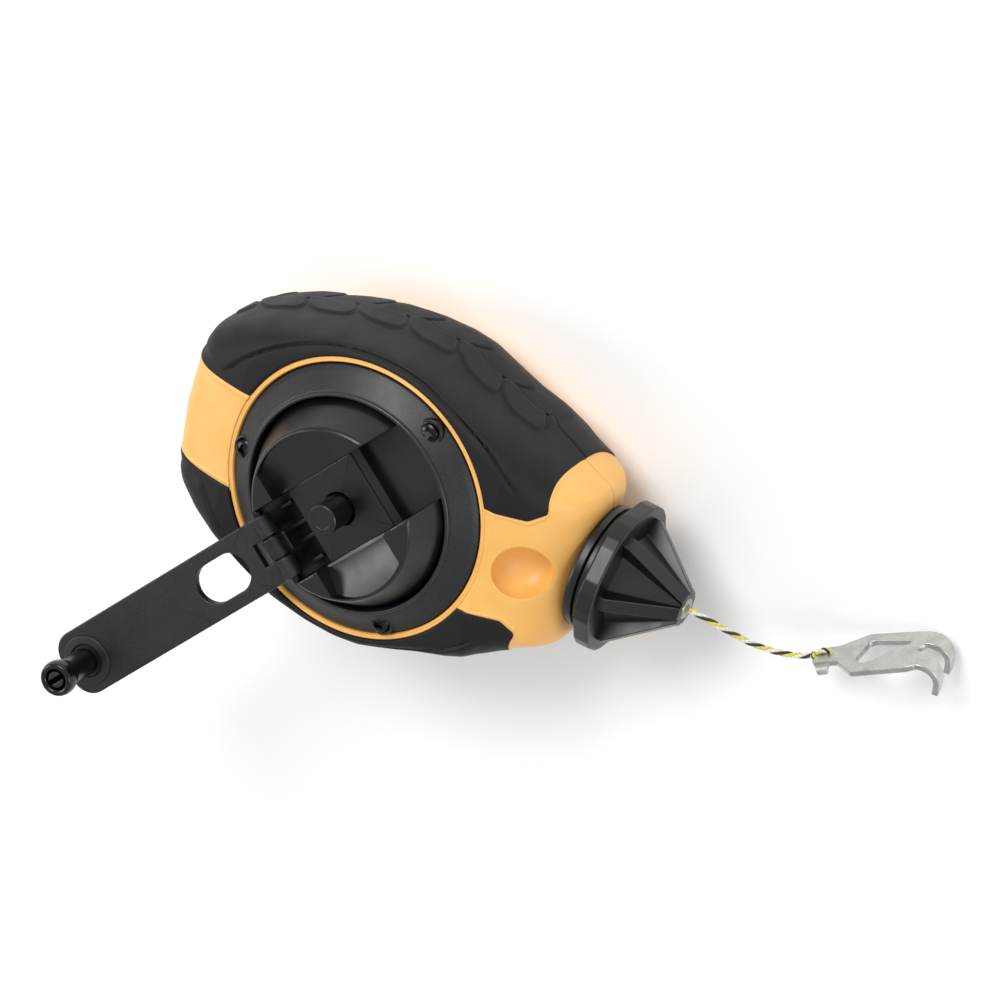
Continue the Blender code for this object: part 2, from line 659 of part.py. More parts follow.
def hinge_pin():
    side = arm_frame(HINGE_D, HINGE_Z) @ Matrix.Rotation(math.pi / 2, 4, "X")
    half = HINGE_PIN_LENGTH / 2
    add_mesh("hinge_pin", lambda bm: cylinder(bm, HINGE_PIN_R, -half, half, sides=20, turn=side), MAT["steel"])


def rounded_slot(start, end, half, steps=8):
    """Outline of a slot with round ends along X."""
    points = []
    for centre, first in ((end - half, -90.0), (start + half, 90.0)):
        for i in range(steps + 1):
            x, y = on_circle(half, first + 180.0 * i / steps)
            points.append((centre + x, y))
    return points


def crank_arm():
    """Flat arm with two ears round the hinge pin, a slot that clears the button and a split knob post."""
    frame = lifted_frame()
    notch = KNUCKLE_HALF + RUN
    tip = ARM_LENGTH + ARM_END_R
    corner = 0.0065
    outline = [(0.0, -ARM_HALF), (tip - corner, -ARM_HALF)]
    for i in range(1, 7):
        x, y = on_circle(corner, -90.0 + 15.0 * i)
        outline.append((tip - corner + x, -ARM_HALF + corner + y))
    outline += [(x, -y) for x, y in reversed(outline)]
    outline += [(0.0, notch), (0.0075, notch), (0.0075, -notch), (0.0, -notch)]
    low = ARM_TOP - ARM_THICK
    item = flat_plate("crank_arm", [outline, rounded_slot(SLOT_START, SLOT_END, SLOT_HALF)],
                      low, ARM_TOP, MAT["black"], frame)

    side = frame @ Matrix.Rotation(math.pi / 2, 4, "X")
    end = (ARM_LENGTH, 0.0)

    def ears(bm):
        for start, stop in ((0.0002 - ARM_HALF, -notch - 0.0001), (notch + 0.0001, ARM_HALF - 0.0002)):
            cylinder(bm, EAR_R, start, stop, sides=24, turn=side)

    def boss(bm):
        cylinder(bm, KNOB_R + 0.0020, ARM_TOP - 0.001, ARM_TOP + 0.0008, end, sides=32, turn=frame)

    def post(bm):
        cylinder(bm, KNOB_POST_R, ARM_TOP - 0.0015, ARM_TOP + KNOB_LENGTH - 0.0004, end, sides=24, turn=frame)
    for add in (ears, boss, post):
        boolean(item, add_mesh("arm_" + add.__name__, add), "UNION")

    def openings(bm):
        cylinder(bm, HINGE_PIN_R + GAP, -0.02, 0.02, sides=20, turn=side)
        box(bm, (ARM_LENGTH - 0.01, -PRONG_SLOT / 2, ARM_TOP + 0.006),
            (ARM_LENGTH + 0.01, PRONG_SLOT / 2, ARM_TOP + KNOB_LENGTH + 0.01), frame)
    boolean(item, add_mesh("arm_openings", openings))


def knob_sleeve():
    low = ARM_TOP + 0.0008 + RUN
    high = ARM_TOP + KNOB_LENGTH
    profile = [(KNOB_END_R - 0.0006, high), (KNOB_END_R, high - 0.0008), (KNOB_END_R, high - 0.0042),
               (KNOB_R, high - 0.0062), (KNOB_R, low), (KNOB_BORE_R, low), (KNOB_BORE_R, high)]
    item = turned("knob_sleeve", profile, MAT["black"], 32)
    item.matrix_world = lifted_frame() @ Matrix.Translation((ARM_LENGTH, 0.0, 0.0))


def clutch_button():
    flange_top = BUTTON_FLANGE_Z + 0.0016
    profile = [(0.0, BUTTON_TOP), (BUTTON_R - 0.0005, BUTTON_TOP), (BUTTON_R, BUTTON_TOP - 0.0005),
               (BUTTON_R, flange_top), (BUTTON_FLANGE_R, flange_top), (BUTTON_FLANGE_R, BUTTON_FLANGE_Z),
               (0.0, BUTTON_FLANGE_Z)]
    turned("clutch_button", profile, MAT["black"], 32, closed=False)


def button_spring():
    """Compression spring between the button's flange and the top of the spool's axle."""
    low, high = GEAR_HIGH + 0.0030, BUTTON_FLANGE_Z - SPRING_WIRE_R - GAP
    steps = 10 * SPRING_TURNS
    points = []
    for i in range(steps + 1):
        x, y = on_circle(SPRING_R, 360.0 * SPRING_TURNS * i / steps)
        points.append((x, y, low + (high - low) * i / steps))
    tube("button_spring", points, SPRING_WIRE_R, MAT["steel"], 1)


# ---- gears ----
def gear_points(teeth, phase, inner=False):
    """Outline of a gear with straight-sided teeth. phase turns the first tooth, in radians. An inner gear's
    teeth point at its axis."""
    pitch = MODULE * teeth / 2
    reach = 0.85 * MODULE
    root = 1.15 * MODULE
    half = math.pi / teeth
    tip_half, root_half = 0.22 * half, 0.66 * half
    if inner:
        tip_half = 0.26 * half
        tip, base = pitch - reach, pitch + root
    else:
        tip, base = pitch + reach, pitch - root
    points = []
    for i in range(teeth):
        centre = phase + 2 * half * i
        for angle, radius in ((-root_half, base), (-tip_half, tip), (tip_half, tip), (root_half, base)):
            points.append((radius * math.cos(centre + angle), radius * math.sin(centre + angle)))
    return points


def round_outline(radius, count=32, centre=(0.0, 0.0)):
    points = []
    for i in range(count):
        x, y = on_circle(radius, 360.0 * i / count)
        points.append((centre[0] + x, centre[1] + y))
    return points


def gears():
    """Ring gear under the disc, three planets on fixed pins and a sun on the spool."""
    ring = gear_points(RING_TEETH, 0.0, inner=True)
    flat_plate("ring_gear", [round_outline(RING_GEAR_R, 48), ring], GEAR_LOW, DISC_BASE_Z - GAP, MAT["nylon"])
    flat_plate("sun_gear", [gear_points(SUN_TEETH, 0.0), round_outline(AXLE_R + RUN, 24)],
               GEAR_LOW, GEAR_HIGH, MAT["nylon"])
    distance = MODULE * (SUN_TEETH + PLANET_TEETH) / 2
    for i, angle in enumerate(PLANET_ANGLES):
        x, y = on_circle(distance, angle)
        phase = math.radians(angle) + math.pi / PLANET_TEETH
        turn = Matrix.Translation((x, y, 0.0))
        flat_plate("planet_gear_%d" % (i + 1),
                   [gear_points(PLANET_TEETH, phase), round_outline(PLANET_PIN_R + RUN, 20)],
                   GEAR_LOW, GEAR_HIGH, MAT["nylon"], turn)
        profile = [(0.0, GEAR_HIGH + 0.0010), (PLANET_PIN_R, GEAR_HIGH + 0.0008), (PLANET_PIN_R, PLATE_LOW),
                   (0.0, PLATE_LOW)]
        turned("planet_pin_%d" % (i + 1), profile, MAT["steel"], 20, closed=False, centre=(x, y))


def gear_plate():
    holes = [round_outline(SUN_HUB_R + 0.001)]
    distance = MODULE * (SUN_TEETH + PLANET_TEETH) / 2
    for angle in PLANET_ANGLES:
        holes.append(round_outline(PLANET_PIN_R + GAP, 20, on_circle(distance, angle)))
    flat_plate("gear_plate", [round_outline(PLATE_R, 48)] + holes, PLATE_LOW, PLATE_HIGH, MAT["nylon"])


# ---- spool ----
def spool():
    low, high = SPOOL_LOW, SPOOL_HIGH
    bore = AXLE_R + RUN
    profile = [(SUN_HUB_R, GEAR_LOW - GAP), (SUN_HUB_R, high), (SPOOL_FLANGE_R, high),
               (SPOOL_FLANGE_R, high - SPOOL_FLANGE), (SPOOL_HUB_R, high - SPOOL_FLANGE),
               (SPOOL_HUB_R, low + SPOOL_FLANGE), (SPOOL_FLANGE_R, low + SPOOL_FLANGE), (SPOOL_FLANGE_R, low),
               (bore, low), (bore, GEAR_LOW - GAP)]
    turned("spool", profile, MAT["nylon"], 36)
    gap = GAP
    winding = [(WINDING_R, high - SPOOL_FLANGE - gap), (WINDING_R, low + SPOOL_FLANGE + gap),
               (SPOOL_HUB_R + gap, low + SPOOL_FLANGE + gap), (SPOOL_HUB_R + gap, high - SPOOL_FLANGE - gap)]
    turned("line_winding", winding, MAT["line"], 32)
    axle = [(0.0, GEAR_HIGH + 0.0024), (AXLE_R, GEAR_HIGH + 0.0020), (AXLE_R, AXLE_LOW), (0.0, AXLE_LOW)]
    turned("spool_axle", axle, MAT["steel"], 24, closed=False)
    bush = [(AXLE_R + 0.0040, low - RUN), (AXLE_R + 0.0040, 0.0050 + GAP), (AXLE_R + GAP, 0.0050 + GAP),
            (AXLE_R + GAP, low - RUN)]
    turned("axle_bush", bush, MAT["steel"], 24)


# ---- nozzle, line and hook ----
def neck_collar():
    low = NOSE_X + GAP
    profile = [(COLLAR_BORE_R, low + COLLAR_LENGTH), (COLLAR_R - 0.0008, low + COLLAR_LENGTH),
               (COLLAR_R, low + COLLAR_LENGTH - 0.0008), (COLLAR_R, low), (COLLAR_SPIGOT_R, low),
               (COLLAR_SPIGOT_R, SPIGOT_X), (COLLAR_BORE_R, SPIGOT_X)]
    turned("neck_collar", profile, MAT["black"], 32, along_x=True)


def nozzle():
    """Hexagonal flange, a cone with six ribs, and a plug that fits the collar's bore."""
    low = NOZZLE_X
    face = low + NOZZLE_FLANGE
    bore = LINE_BORE_R + 0.0004
    cone = [(bore, NOZZLE_TIP_X), (NOZZLE_TIP_R - 0.0008, NOZZLE_TIP_X), (CONE_R, face - 0.001),
            (NOZZLE_PLUG_R, low + 0.001), (NOZZLE_PLUG_R, PLUG_X), (bore, PLUG_X)]
    item = turned("nozzle_cone", cone, MAT["black"], 36, along_x=True)
    turn = Matrix.Translation((0, 0, MID)) @ Matrix.Rotation(math.pi / 2, 4, "Y")

    def flange(bm):
        outline = []
        for side in range(6):
            for angle in (-18.0, -6.0, 6.0, 18.0):
                outline.append(on_circle(NOZZLE_FLANGE_R, 60.0 * side + angle))
        low_ring = [bm.verts.new(turn @ Vector((x, y, low))) for x, y in outline]
        high_ring = [bm.verts.new(turn @ Vector((x * 0.97, y * 0.97, face))) for x, y in outline]
        count = len(outline)
        for i in range(count):
            k = (i + 1) % count
            bm.faces.new((low_ring[i], low_ring[k], high_ring[k], high_ring[i]))
        bm.faces.new(list(reversed(low_ring)))
        bm.faces.new(high_ring)
        bmesh.ops.recalc_face_normals(bm, faces=bm.faces)
    flange_item = add_mesh("nozzle_flange", flange)
    hole = add_mesh("flange_hole", lambda bm: cylinder(bm, CONE_R - 0.003, low - 0.01, face + 0.01,
                                                       sides=36, turn=turn))
    boolean(flange_item, hole)
    boolean(item, flange_item, "UNION")
    reach = NOZZLE_FLANGE_R - 0.0034
    base = face - 0.002
    tip = NOZZLE_TIP_X - 0.0006
    for side in range(6):
        spin = turn @ Matrix.Rotation(math.radians(60.0 * side), 4, "Z")

        def rib(bm, spin=spin):
            corners = [(CONE_R - 0.006, base), (reach, base), (reach, face + 0.002),
                       (NOZZLE_TIP_R, tip - 0.0010), (NOZZLE_TIP_R - 0.0012, tip), (bore + 0.0012, tip)]
            left = [bm.verts.new(spin @ Vector((r, -RIB_HALF, x))) for r, x in corners]
            right = [bm.verts.new(spin @ Vector((r, RIB_HALF, x))) for r, x in corners]
            count = len(corners)
            for i in range(count):
                k = (i + 1) % count
                bm.faces.new((left[i], left[k], right[k], right[i]))
            bm.faces.new(left)
            bm.faces.new(list(reversed(right)))
            bmesh.ops.recalc_face_normals(bm, faces=bm.faces)
        boolean(item, add_mesh("nozzle_rib_%d" % side, rib), "UNION")

    def mouth(bm):
        cylinder(bm, EYELET_R + GAP, NOZZLE_TIP_X - 0.0022, NOZZLE_TIP_X + 0.004, sides=24, turn=turn)
        cylinder(bm, 0.0050, PLUG_X - 0.001, PLUG_X + 0.009, sides=24, turn=turn)
    boolean(item, add_mesh("nozzle_mouth", mouth))
    eyelet = [(EYELET_R - 0.0004, NOZZLE_TIP_X + 0.0006), (EYELET_R, NOZZLE_TIP_X + 0.0003),
              (EYELET_R, NOZZLE_TIP_X - 0.0019), (LINE_BORE_R, NOZZLE_TIP_X - 0.0019),
              (LINE_BORE_R, NOZZLE_TIP_X + 0.0003), (LINE_BORE_R + 0.0004, NOZZLE_TIP_X + 0.0006)]
    turned("nozzle_eyelet", eyelet, MAT["steel"], 24, along_x=True)
    felt = [(0.0047, PLUG_X + 0.0085), (0.0047, PLUG_X + 0.0005), (LINE_BORE_R, PLUG_X + 0.0005),
            (LINE_BORE_R, PLUG_X + 0.0085)]
    turned("nozzle_felt", felt, MAT["felt"], 24, along_x=True)


def lines():
    """Line from the winding to the neck, through the nozzle, and free to the hook."""
    radius = LINE_D / 2
    tube("line_run", smooth_path(RUN_ROUTE, 2), radius, MAT["line"])
    low = RUN_ROUTE[-1][0] + GAP
    high = LINE_EXIT[0] - GAP
    tube("line_lead", [(low, 0.0, MID), ((low + high) / 2, 0.0, MID), (high, 0.0, MID)], radius, MAT["line"])
    tube("line_free", smooth_path(LINE_ROUTE, 3), radius, MAT["line"])


def hook_frame():
    """+X along the hook, +Y up its width and +Z out of the side to which the claws bend."""
    across = Vector((math.sin(HOOK_ANGLE), -math.cos(HOOK_ANGLE), 0.0))
    along = Vector((math.cos(HOOK_ANGLE), math.sin(HOOK_ANGLE), 0.0))
    wide = Vector((0, 0, 1)) * math.cos(HOOK_LEAN) + across * math.sin(HOOK_LEAN)
    out = along.cross(wide)
    frame = Matrix((along, wide, out)).transposed().to_4x4()
    return Matrix.Translation(HOOK_ORIGIN) @ frame


def hook():
    """Stamped plate with a long opening, and two claws bent out of its plane."""
    frame = hook_frame()
    half = HOOK_THICK / 2
    item = flat_plate("hook", [HOOK_OUTLINE, HOOK_HOLE], -half, half, MAT["steel"], frame)
    bend = 0.0050
    for i, middle in enumerate((0.0045, 0.0148)):
        centres = []
        for step in range(9):
            angle = math.radians(105.0) * step / 8
            centres.append((HOOK_END - 0.0015 + bend * math.sin(angle), bend * (1 - math.cos(angle)), angle))
        x, z, angle = centres[-1]
        reach = CLAW_LENGTH - bend
        centres.append((x + reach * math.cos(angle), z + reach * math.sin(angle), angle))

        def claw(bm, centres=centres, middle=middle):
            rows = []
            for k, (x, z, angle) in enumerate(centres):
                wide = CLAW_WIDTH / 2 * (1.0 - 0.5 * k / (len(centres) - 1))
                normal = Vector((-math.sin(angle), 0.0, math.cos(angle)))
                middle_point = Vector((x, middle, z))
                corners = [middle_point + normal * a + Vector((0, b, 0))
                           for a, b in ((-half, -wide), (-half, wide), (half, wide), (half, -wide))]
                rows.append([bm.verts.new(frame @ corner) for corner in corners])
            for low, high in zip(rows, rows[1:]):
                for k in range(4):
                    n = (k + 1) % 4
                    bm.faces.new((low[k], low[n], high[n], high[k]))
            bm.faces.new(list(reversed(rows[0])))
            bm.faces.new(rows[-1])
            bmesh.ops.recalc_face_normals(bm, faces=bm.faces)
        boolean(item, add_mesh("claw_%d" % i, claw), "UNION")


# ---- build ----
for old in list(bpy.data.objects):
    bpy.data.objects.remove(old)
PARTS = new_collection("chalk_line_reel")
CUTTERS = new_collection("cutters")
MAT = {
    "yellow": new_material("yellow_plastic", YELLOW, 0.45),
    "rubber": new_material("black_rubber", RUBBER_BLACK, 0.75),
    "black": new_material("black_plastic", BLACK, 0.45),
    "steel": new_material("plated_steel", STEEL, 0.35, 1.0),
    "nylon": new_material("white_nylon", NYLON, 0.5),
    "felt": new_material("grey_felt", FELT, 0.95),
    "line": new_material("twisted_line", LINE, 0.8),
}
FRONT_POCKET, BACK_POCKET = grip_pockets()
BORE = nose_bore()
housing_front(FRONT_POCKET, BORE)
housing_back(BACK_POCKET, BORE)
grips()
housing_screws()
bezel()
bezel_screws()
crank_disc()
hinge_pin()
crank_arm()
knob_sleeve()
clutch_button()
button_spring()
gears()
gear_plate()
spool()
neck_collar()
nozzle()
lines()
hook()
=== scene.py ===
"""Chalk line reel, lying on its back with the crank side up: the visible pieces and their finishes.

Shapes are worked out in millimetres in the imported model's own frame and turned to metres in piece().
+Z runs up the spool's axis, +X to the nozzle and +Y to the upper grip.
"""
import math

import bmesh
import bpy
import numpy as np
from mathutils import Matrix, Vector


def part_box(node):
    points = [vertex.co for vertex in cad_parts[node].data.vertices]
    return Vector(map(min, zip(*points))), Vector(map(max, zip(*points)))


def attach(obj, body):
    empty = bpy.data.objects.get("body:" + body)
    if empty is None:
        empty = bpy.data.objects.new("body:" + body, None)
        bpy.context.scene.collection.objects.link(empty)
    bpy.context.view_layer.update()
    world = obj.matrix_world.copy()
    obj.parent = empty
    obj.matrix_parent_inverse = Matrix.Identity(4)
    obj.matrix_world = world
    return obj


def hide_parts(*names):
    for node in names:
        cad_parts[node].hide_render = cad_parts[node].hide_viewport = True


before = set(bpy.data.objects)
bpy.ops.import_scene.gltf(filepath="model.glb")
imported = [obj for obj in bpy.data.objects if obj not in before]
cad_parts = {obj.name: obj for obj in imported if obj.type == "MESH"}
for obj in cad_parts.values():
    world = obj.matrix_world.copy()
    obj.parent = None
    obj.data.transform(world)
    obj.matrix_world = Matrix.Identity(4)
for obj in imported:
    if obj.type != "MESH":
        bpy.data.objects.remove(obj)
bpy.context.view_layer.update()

MM = 0.001
TAU = math.tau


# ---- sizes, in millimetres ----
def corner(node, axis, high=True):
    """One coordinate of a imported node's box, in millimetres."""
    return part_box(node)[1 if high else 0][axis] / MM


THICK = corner("housing_front", 2)             # ring's top over the flat of the back
MID = THICK / 2                                # plane where the housing halves meet
RING_R = 42.0
BEZEL_TOP = corner("front_bezel", 2)
LIP_R = 31.6
DISC_R = LIP_R - 0.4
NOSE_SLOPE = math.tan(math.radians(24.5))
REAR_SLOPE = math.tan(math.radians(8.0))
FRONT_POWER = 4.0                              # how square the front half's edge is
BACK_POWER = 2.3
BASE_SHARE = 0.5                               # flat of the back, as a share of the outline
GRIP_PROUD = 0.5                               # rubber over the yellow shell
ARM_ANGLE = math.radians(231.7)
HINGE_D = 25.0
HINGE_Z = THICK + 9.3
ARM_TOP = -0.5                                 # arm's upper face, from the hinge axis
ARM_THICK = 2.6
ARM_LIFT = math.radians(7.0)                   # the open arm rises to its knob
DOME_R = 25.8
DOME_Z = THICK + 13.8
SCOOP_R = DOME_R - 1.3
SCOOP_ENDS = (-12.5, 14.0)
CHANNEL = 11.8                                 # half the width of the arm's channel
CHANNEL_END = 30.9                             # radius at which its floor ends
DISC_FOOT = 50.5
BLOCK_Z = THICK + 8.0
KNOB_D = 77.0                                  # hinge to knob
BUTTON_LOW = THICK + 5.8                       # clears the disc's base when it is pressed
SCREW_RING_R = 36.0
SCREW_Z = 57.9
SCREW_TURNS = [math.radians(degrees) for degrees in (60.0, 180.0, 300.0)]
BASE_LIFT = 0.25                               # the screw bosses and not the skin touch the bench
BACK_POSTS = [(-42.5, 14.0), (-42.5, -14.0), (44.5, 17.5), (44.5, -17.5)]
DIMPLE_X = 52.4
DIMPLE_R = 8.2
PAD_PITCH = 16.5
PAD_REACH = 11.0
PAD_HEIGHT = 0.75
RIDGE_FROM = 3.4
RIDGE_GROWTH = 9.0
SEAM_WAVE = 0.9
UNDER_GRIP = math.radians(1.6)                 # how far the yellow faces run under the rubber
YELLOW_WALL = 1.8
NOZZLE_X = corner("nozzle_cone", 0) - 23.9     # back of the hexagonal flange
TIP_X = corner("nozzle_cone", 0)
BUTTON_TOP = corner("clutch_button", 2)

# half of the outline in the parting plane, from the nose round the upper grip to the rear
OUTLINE = [(64.5, 0.0), (64.5, 12.0), (64.3, 20.5), (62.5, 24.5), (57.0, 26.8), (52.3, 28.8), (47.5, 31.5),
           (39.0, 34.8), (29.5, 37.0), (21.0, 40.0), (11.0, 43.6), (3.0, 44.6), (-7.0, 44.4), (-19.0, 42.8),
           (-33.4, 38.5), (-43.4, 35.0), (-53.3, 30.3), (-60.6, 24.4), (-64.4, 15.2), (-65.5, 0.0)]
# the upper grip's plan: y of its lower edge along x, and x of its nose edge along y
GRIP_LOW = ((-75.0, -30.0, 30.0, 50.5), (15.0, 15.0, 16.2, 16.2))
GRIP_NOSE = ((16.2, 19.5, 25.5, 30.0, 60.0), (50.5, 54.8, 53.6, 52.4, 55.0))

TWIST = 8.5
STRAND_OFFSET = 0.43
STRAND_R = 0.47
LINE_EXIT = (0.0945, 0.0, 0.028)
LINE_ROUTE = [LINE_EXIT, (0.0975, -0.0001, 0.0278), (0.1020, -0.0013, 0.0262), (0.1070, -0.0040, 0.0222),
              (0.1120, -0.0066, 0.0178), (0.1170, -0.0080, 0.0140), (0.1215, -0.0079, 0.0118),
              (0.1250, -0.0068, 0.0109), (0.1277, -0.0053, 0.0107)]
HOOK_ORIGIN = (128.9, -3.0, 2.2)
HOOK_ANGLE = math.radians(32.4)
HOOK_LEAN = math.radians(13.0)
HOOK_THICK = 1.8
CLAW_FOOT = 30.9                               # where the claws start to bend, along the hook
CLAW_BEND = 5.0

FRONT_TURNS = np.linspace(0.0, math.pi / 2, 92)                   # rows of the front half's pieces
BACK_TURNS = np.linspace(math.radians(50.0), math.pi / 2, 70)     # rows of the back grips


# ---- materials ----
MIX_COLOUR_A, MIX_COLOUR_B, MIX_COLOUR_OUT = 6, 7, 2     # sockets of a Mix node that is set to colours


def linear(code):
    """An sRGB hex colour as linear red, green, blue and alpha."""
    parts = [int(code[i:i + 2], 16) / 255 for i in (1, 3, 5)]
    return (*[c / 12.92 if c <= 0.04045 else ((c + 0.055) / 1.055) ** 2.4 for c in parts], 1.0)


def node(tree, kind, inputs=None, **settings):
    """Adds a node: its settings by name, and each input as a value or as another node's output."""
    item = tree.nodes.new(kind)
    for name, value in settings.items():
        setattr(item, name, value)
    for name, value in (inputs or {}).items():
        if isinstance(value, bpy.types.NodeSocket):
            tree.links.new(value, item.inputs[name])
        else:
            item.inputs[name].default_value = value
    return item


def new_material(name, shader_values):
    """A material with these shader values. Returns it, its tree, its shader and the place on the object."""
    material = bpy.data.materials.new(name)
    material.use_nodes = True
    tree = material.node_tree
    shader = tree.nodes["Principled BSDF"]
    for key, value in shader_values.items():
        shader.inputs[key].default_value = value
    return material, tree, shader, node(tree, "ShaderNodeTexCoord").outputs["Object"]


def noise(tree, place, size_mm, detail):
    """A noise whose features are this big, on coordinates in metres."""
    made = node(tree, "ShaderNodeTexNoise", {"Vector": place, "Scale": 1000.0 / size_mm, "Detail": detail})
    return made.outputs["Fac"]


def ramp(tree, factor, dark, light, low, high):
    """A colour that goes from dark to light while the factor goes from low to high."""
    shade = node(tree, "ShaderNodeValToRGB", {"Fac": factor})
    for stop, position, code in zip(shade.color_ramp.elements, (low, high), (dark, light)):
        stop.position = position
        stop.color = linear(code)
    return shade.outputs["Color"]


def drifting_gloss(tree, shader, factor, rough, swing):
    """Roughness that drifts either side of a value with the factor."""
    gloss = node(tree, "ShaderNodeMapRange", {"Value": factor, "From Min": 0.3, "From Max": 0.7,
                                              "To Min": rough - swing, "To Max": rough + swing})
    tree.links.new(gloss.outputs["Result"], shader.inputs["Roughness"])


def link_surface(tree, shader, colour, relief, height_mm):
    """Gives the shader its colour and a relief of this height."""
    tree.links.new(colour, shader.inputs["Base Color"])
    bump = node(tree, "ShaderNodeBump", {"Height": relief, "Strength": 1.0, "Distance": height_mm * MM})
    tree.links.new(bump.outputs["Normal"], shader.inputs["Normal"])


def moulded(name, dark, light, rough, grain_mm, grain_height_mm, mottle_mm=9.0, painted_glint=None, **shader_values):
    """Injection-moulded plastic or rubber. Spark erosion left an even grain in the tool, so the surface
    scatters light in fine dots; slow flow marks change its shade and gloss a little over some millimetres.
    Where a lighter dot colour is given, it is painted on the grain's peaks as glints, a painted highlight."""
    material, tree, shader, place = new_material(name, shader_values)
    mottle = noise(tree, place, mottle_mm, 3.0)
    grain = noise(tree, place, grain_mm, 2.0)
    colour = ramp(tree, mottle, dark, light, 0.32, 0.68)
    # lighter dots painted on the grain's peaks stand in for glints of light
    if painted_glint:
        dots = node(tree, "ShaderNodeMapRange", {"Value": grain, "From Min": 0.52, "From Max": 0.68,
                                                 "To Min": 0.0, "To Max": 0.85})
        mix = node(tree, "ShaderNodeMix", {"Factor": dots.outputs["Result"]}, data_type="RGBA")
        tree.links.new(colour, mix.inputs[MIX_COLOUR_A])
        mix.inputs[MIX_COLOUR_B].default_value = linear(painted_glint)
        colour = mix.outputs[MIX_COLOUR_OUT]
    drifting_gloss(tree, shader, mottle, rough, 0.05)
    link_surface(tree, shader, colour, grain, grain_height_mm)
    return material


def plated_steel(name, dark, light, rough, brush_mm=(0.25, 6.0)):
    """Plated or ground steel: a satin bright metal whose faint rolling lines run along the strip."""
    material, tree, shader, place = new_material(name, {"Metallic": 1.0})
    turn = node(tree, "ShaderNodeMapping", {"Vector": place, "Rotation": (0.0, 0.0, -HOOK_ANGLE),
                                            "Scale": (brush_mm[0] / brush_mm[1], 1.0, 1.0)})
    lines = noise(tree, turn.outputs["Vector"], brush_mm[0], 3.0)
    cloud = noise(tree, place, 4.0, 3.0)
    mixed = node(tree, "ShaderNodeMath", {0: lines, 1: cloud, 2: 0.2}, operation="MULTIPLY_ADD")
    drifting_gloss(tree, shader, cloud, rough, 0.06)
    link_surface(tree, shader, ramp(tree, mixed.outputs["Value"], dark, light, 0.3, 0.6), lines, 0.02)
    return material


def yarn(name, dark, light):
    """Twisted polyester yarn: dull, with fine filaments that run round the strand."""
    material, tree, shader, place = new_material(name, {"Roughness": 0.75, "Sheen Weight": 0.3})
    fibre = noise(tree, place, 0.35, 4.0)
    link_surface(tree, shader, ramp(tree, fibre, dark, light, 0.35, 0.62), fibre, 0.12)
    return material


# the floor: a matte white board with a barely visible tooth
WHITE_BOARD = moulded("matte_white_board", "#FAFAFA", "#FDFDFD", 0.9, 1.5, 0.02, mottle_mm=300.0)
# ABS with a fine satin grain: warm yellow, slightly glossy
YELLOW_ABS = moulded("satin_yellow_abs", "#EDB25C", "#F1B966", 0.42, 0.45, 0.012, IOR=1.53)
# thermoplastic elastomer moulded over the shell: matte and a little dusty
GRIP_RUBBER = moulded("overmoulded_black_tpe", "#0A0A0B", "#0F0F10", 0.60, 0.40, 0.03, IOR=1.40)
# coarse spark-eroded ABS of the bezel and the crank arm: lighter dots painted over a blue-black ground stand
# in for the grain's glints
GRAINED_ABS = moulded("grained_black_abs", "#0D0F11", "#121417", 0.42, 0.34, 0.05, painted_glint="#24282D", IOR=1.53)
# fine satin black of the disc, the nozzle and the collar
SATIN_ABS = moulded("satin_black_abs", "#080809", "#0D0D0E", 0.34, 0.35, 0.012, IOR=1.53)
# the bezel's lip: the same black plastic, painted a greyer satin that stands in for the highlight along the
# lip
LIP_HIGHLIGHT_ABS = moulded("highlight_grey_black_abs", "#1C1D1F", "#242527", 0.36, 0.45, 0.02, IOR=1.53)
# acetal of the button and knob: nearly smooth
KNOB_ACETAL = moulded("polished_black_acetal", "#040405", "#08080A", 0.20, 0.60, 0.006, IOR=1.48)
# black-oxide screws
SCREW_OXIDE = plated_steel("black_oxide_screw", "#232325", "#3C3C3E", 0.20)
HOOK_STEEL = plated_steel("zinc_plated_stamping", "#A9A9A4", "#CFCFCA", 0.36)
SPRING_STEEL = plated_steel("ground_steel", "#8D8D8A", "#B5B5B0", 0.30)
NYLON = moulded("natural_nylon", "#D6D2C4", "#E2DED0", 0.45, 0.50, 0.01, IOR=1.53)
WHITE_YARN = yarn("white_yarn", "#BDBBAA", "#F1EFE2")
YELLOW_YARN = yarn("yellow_yarn", "#B5A733", "#E9DC62")
BLACK_YARN = yarn("black_yarn", "#141414", "#2C2C2A")
WOUND_YARN = yarn("wound_line", "#8E8A55", "#D8D3A0")


# ---- mesh making ----
def skin(points, around=True, loop=False, keep=None):
    """Vertices and quads of a grid of points. around joins the ends of each row, and loop joins the last row
    to the first. keep says which quads stay."""
    rows, columns = points.shape[:2]
    index = np.arange(rows * columns).reshape(rows, columns)
    if around:
        index = np.hstack((index, index[:, :1]))
    if loop:
        index = np.vstack((index, index[:1]))
    quads = np.stack((index[:-1, :-1], index[:-1, 1:], index[1:, 1:], index[1:, :-1]), axis=-1)
    quads = quads[keep] if keep is not None else quads.reshape(-1, 4)
    return points.reshape(-1, 3), quads.reshape(-1, 4)


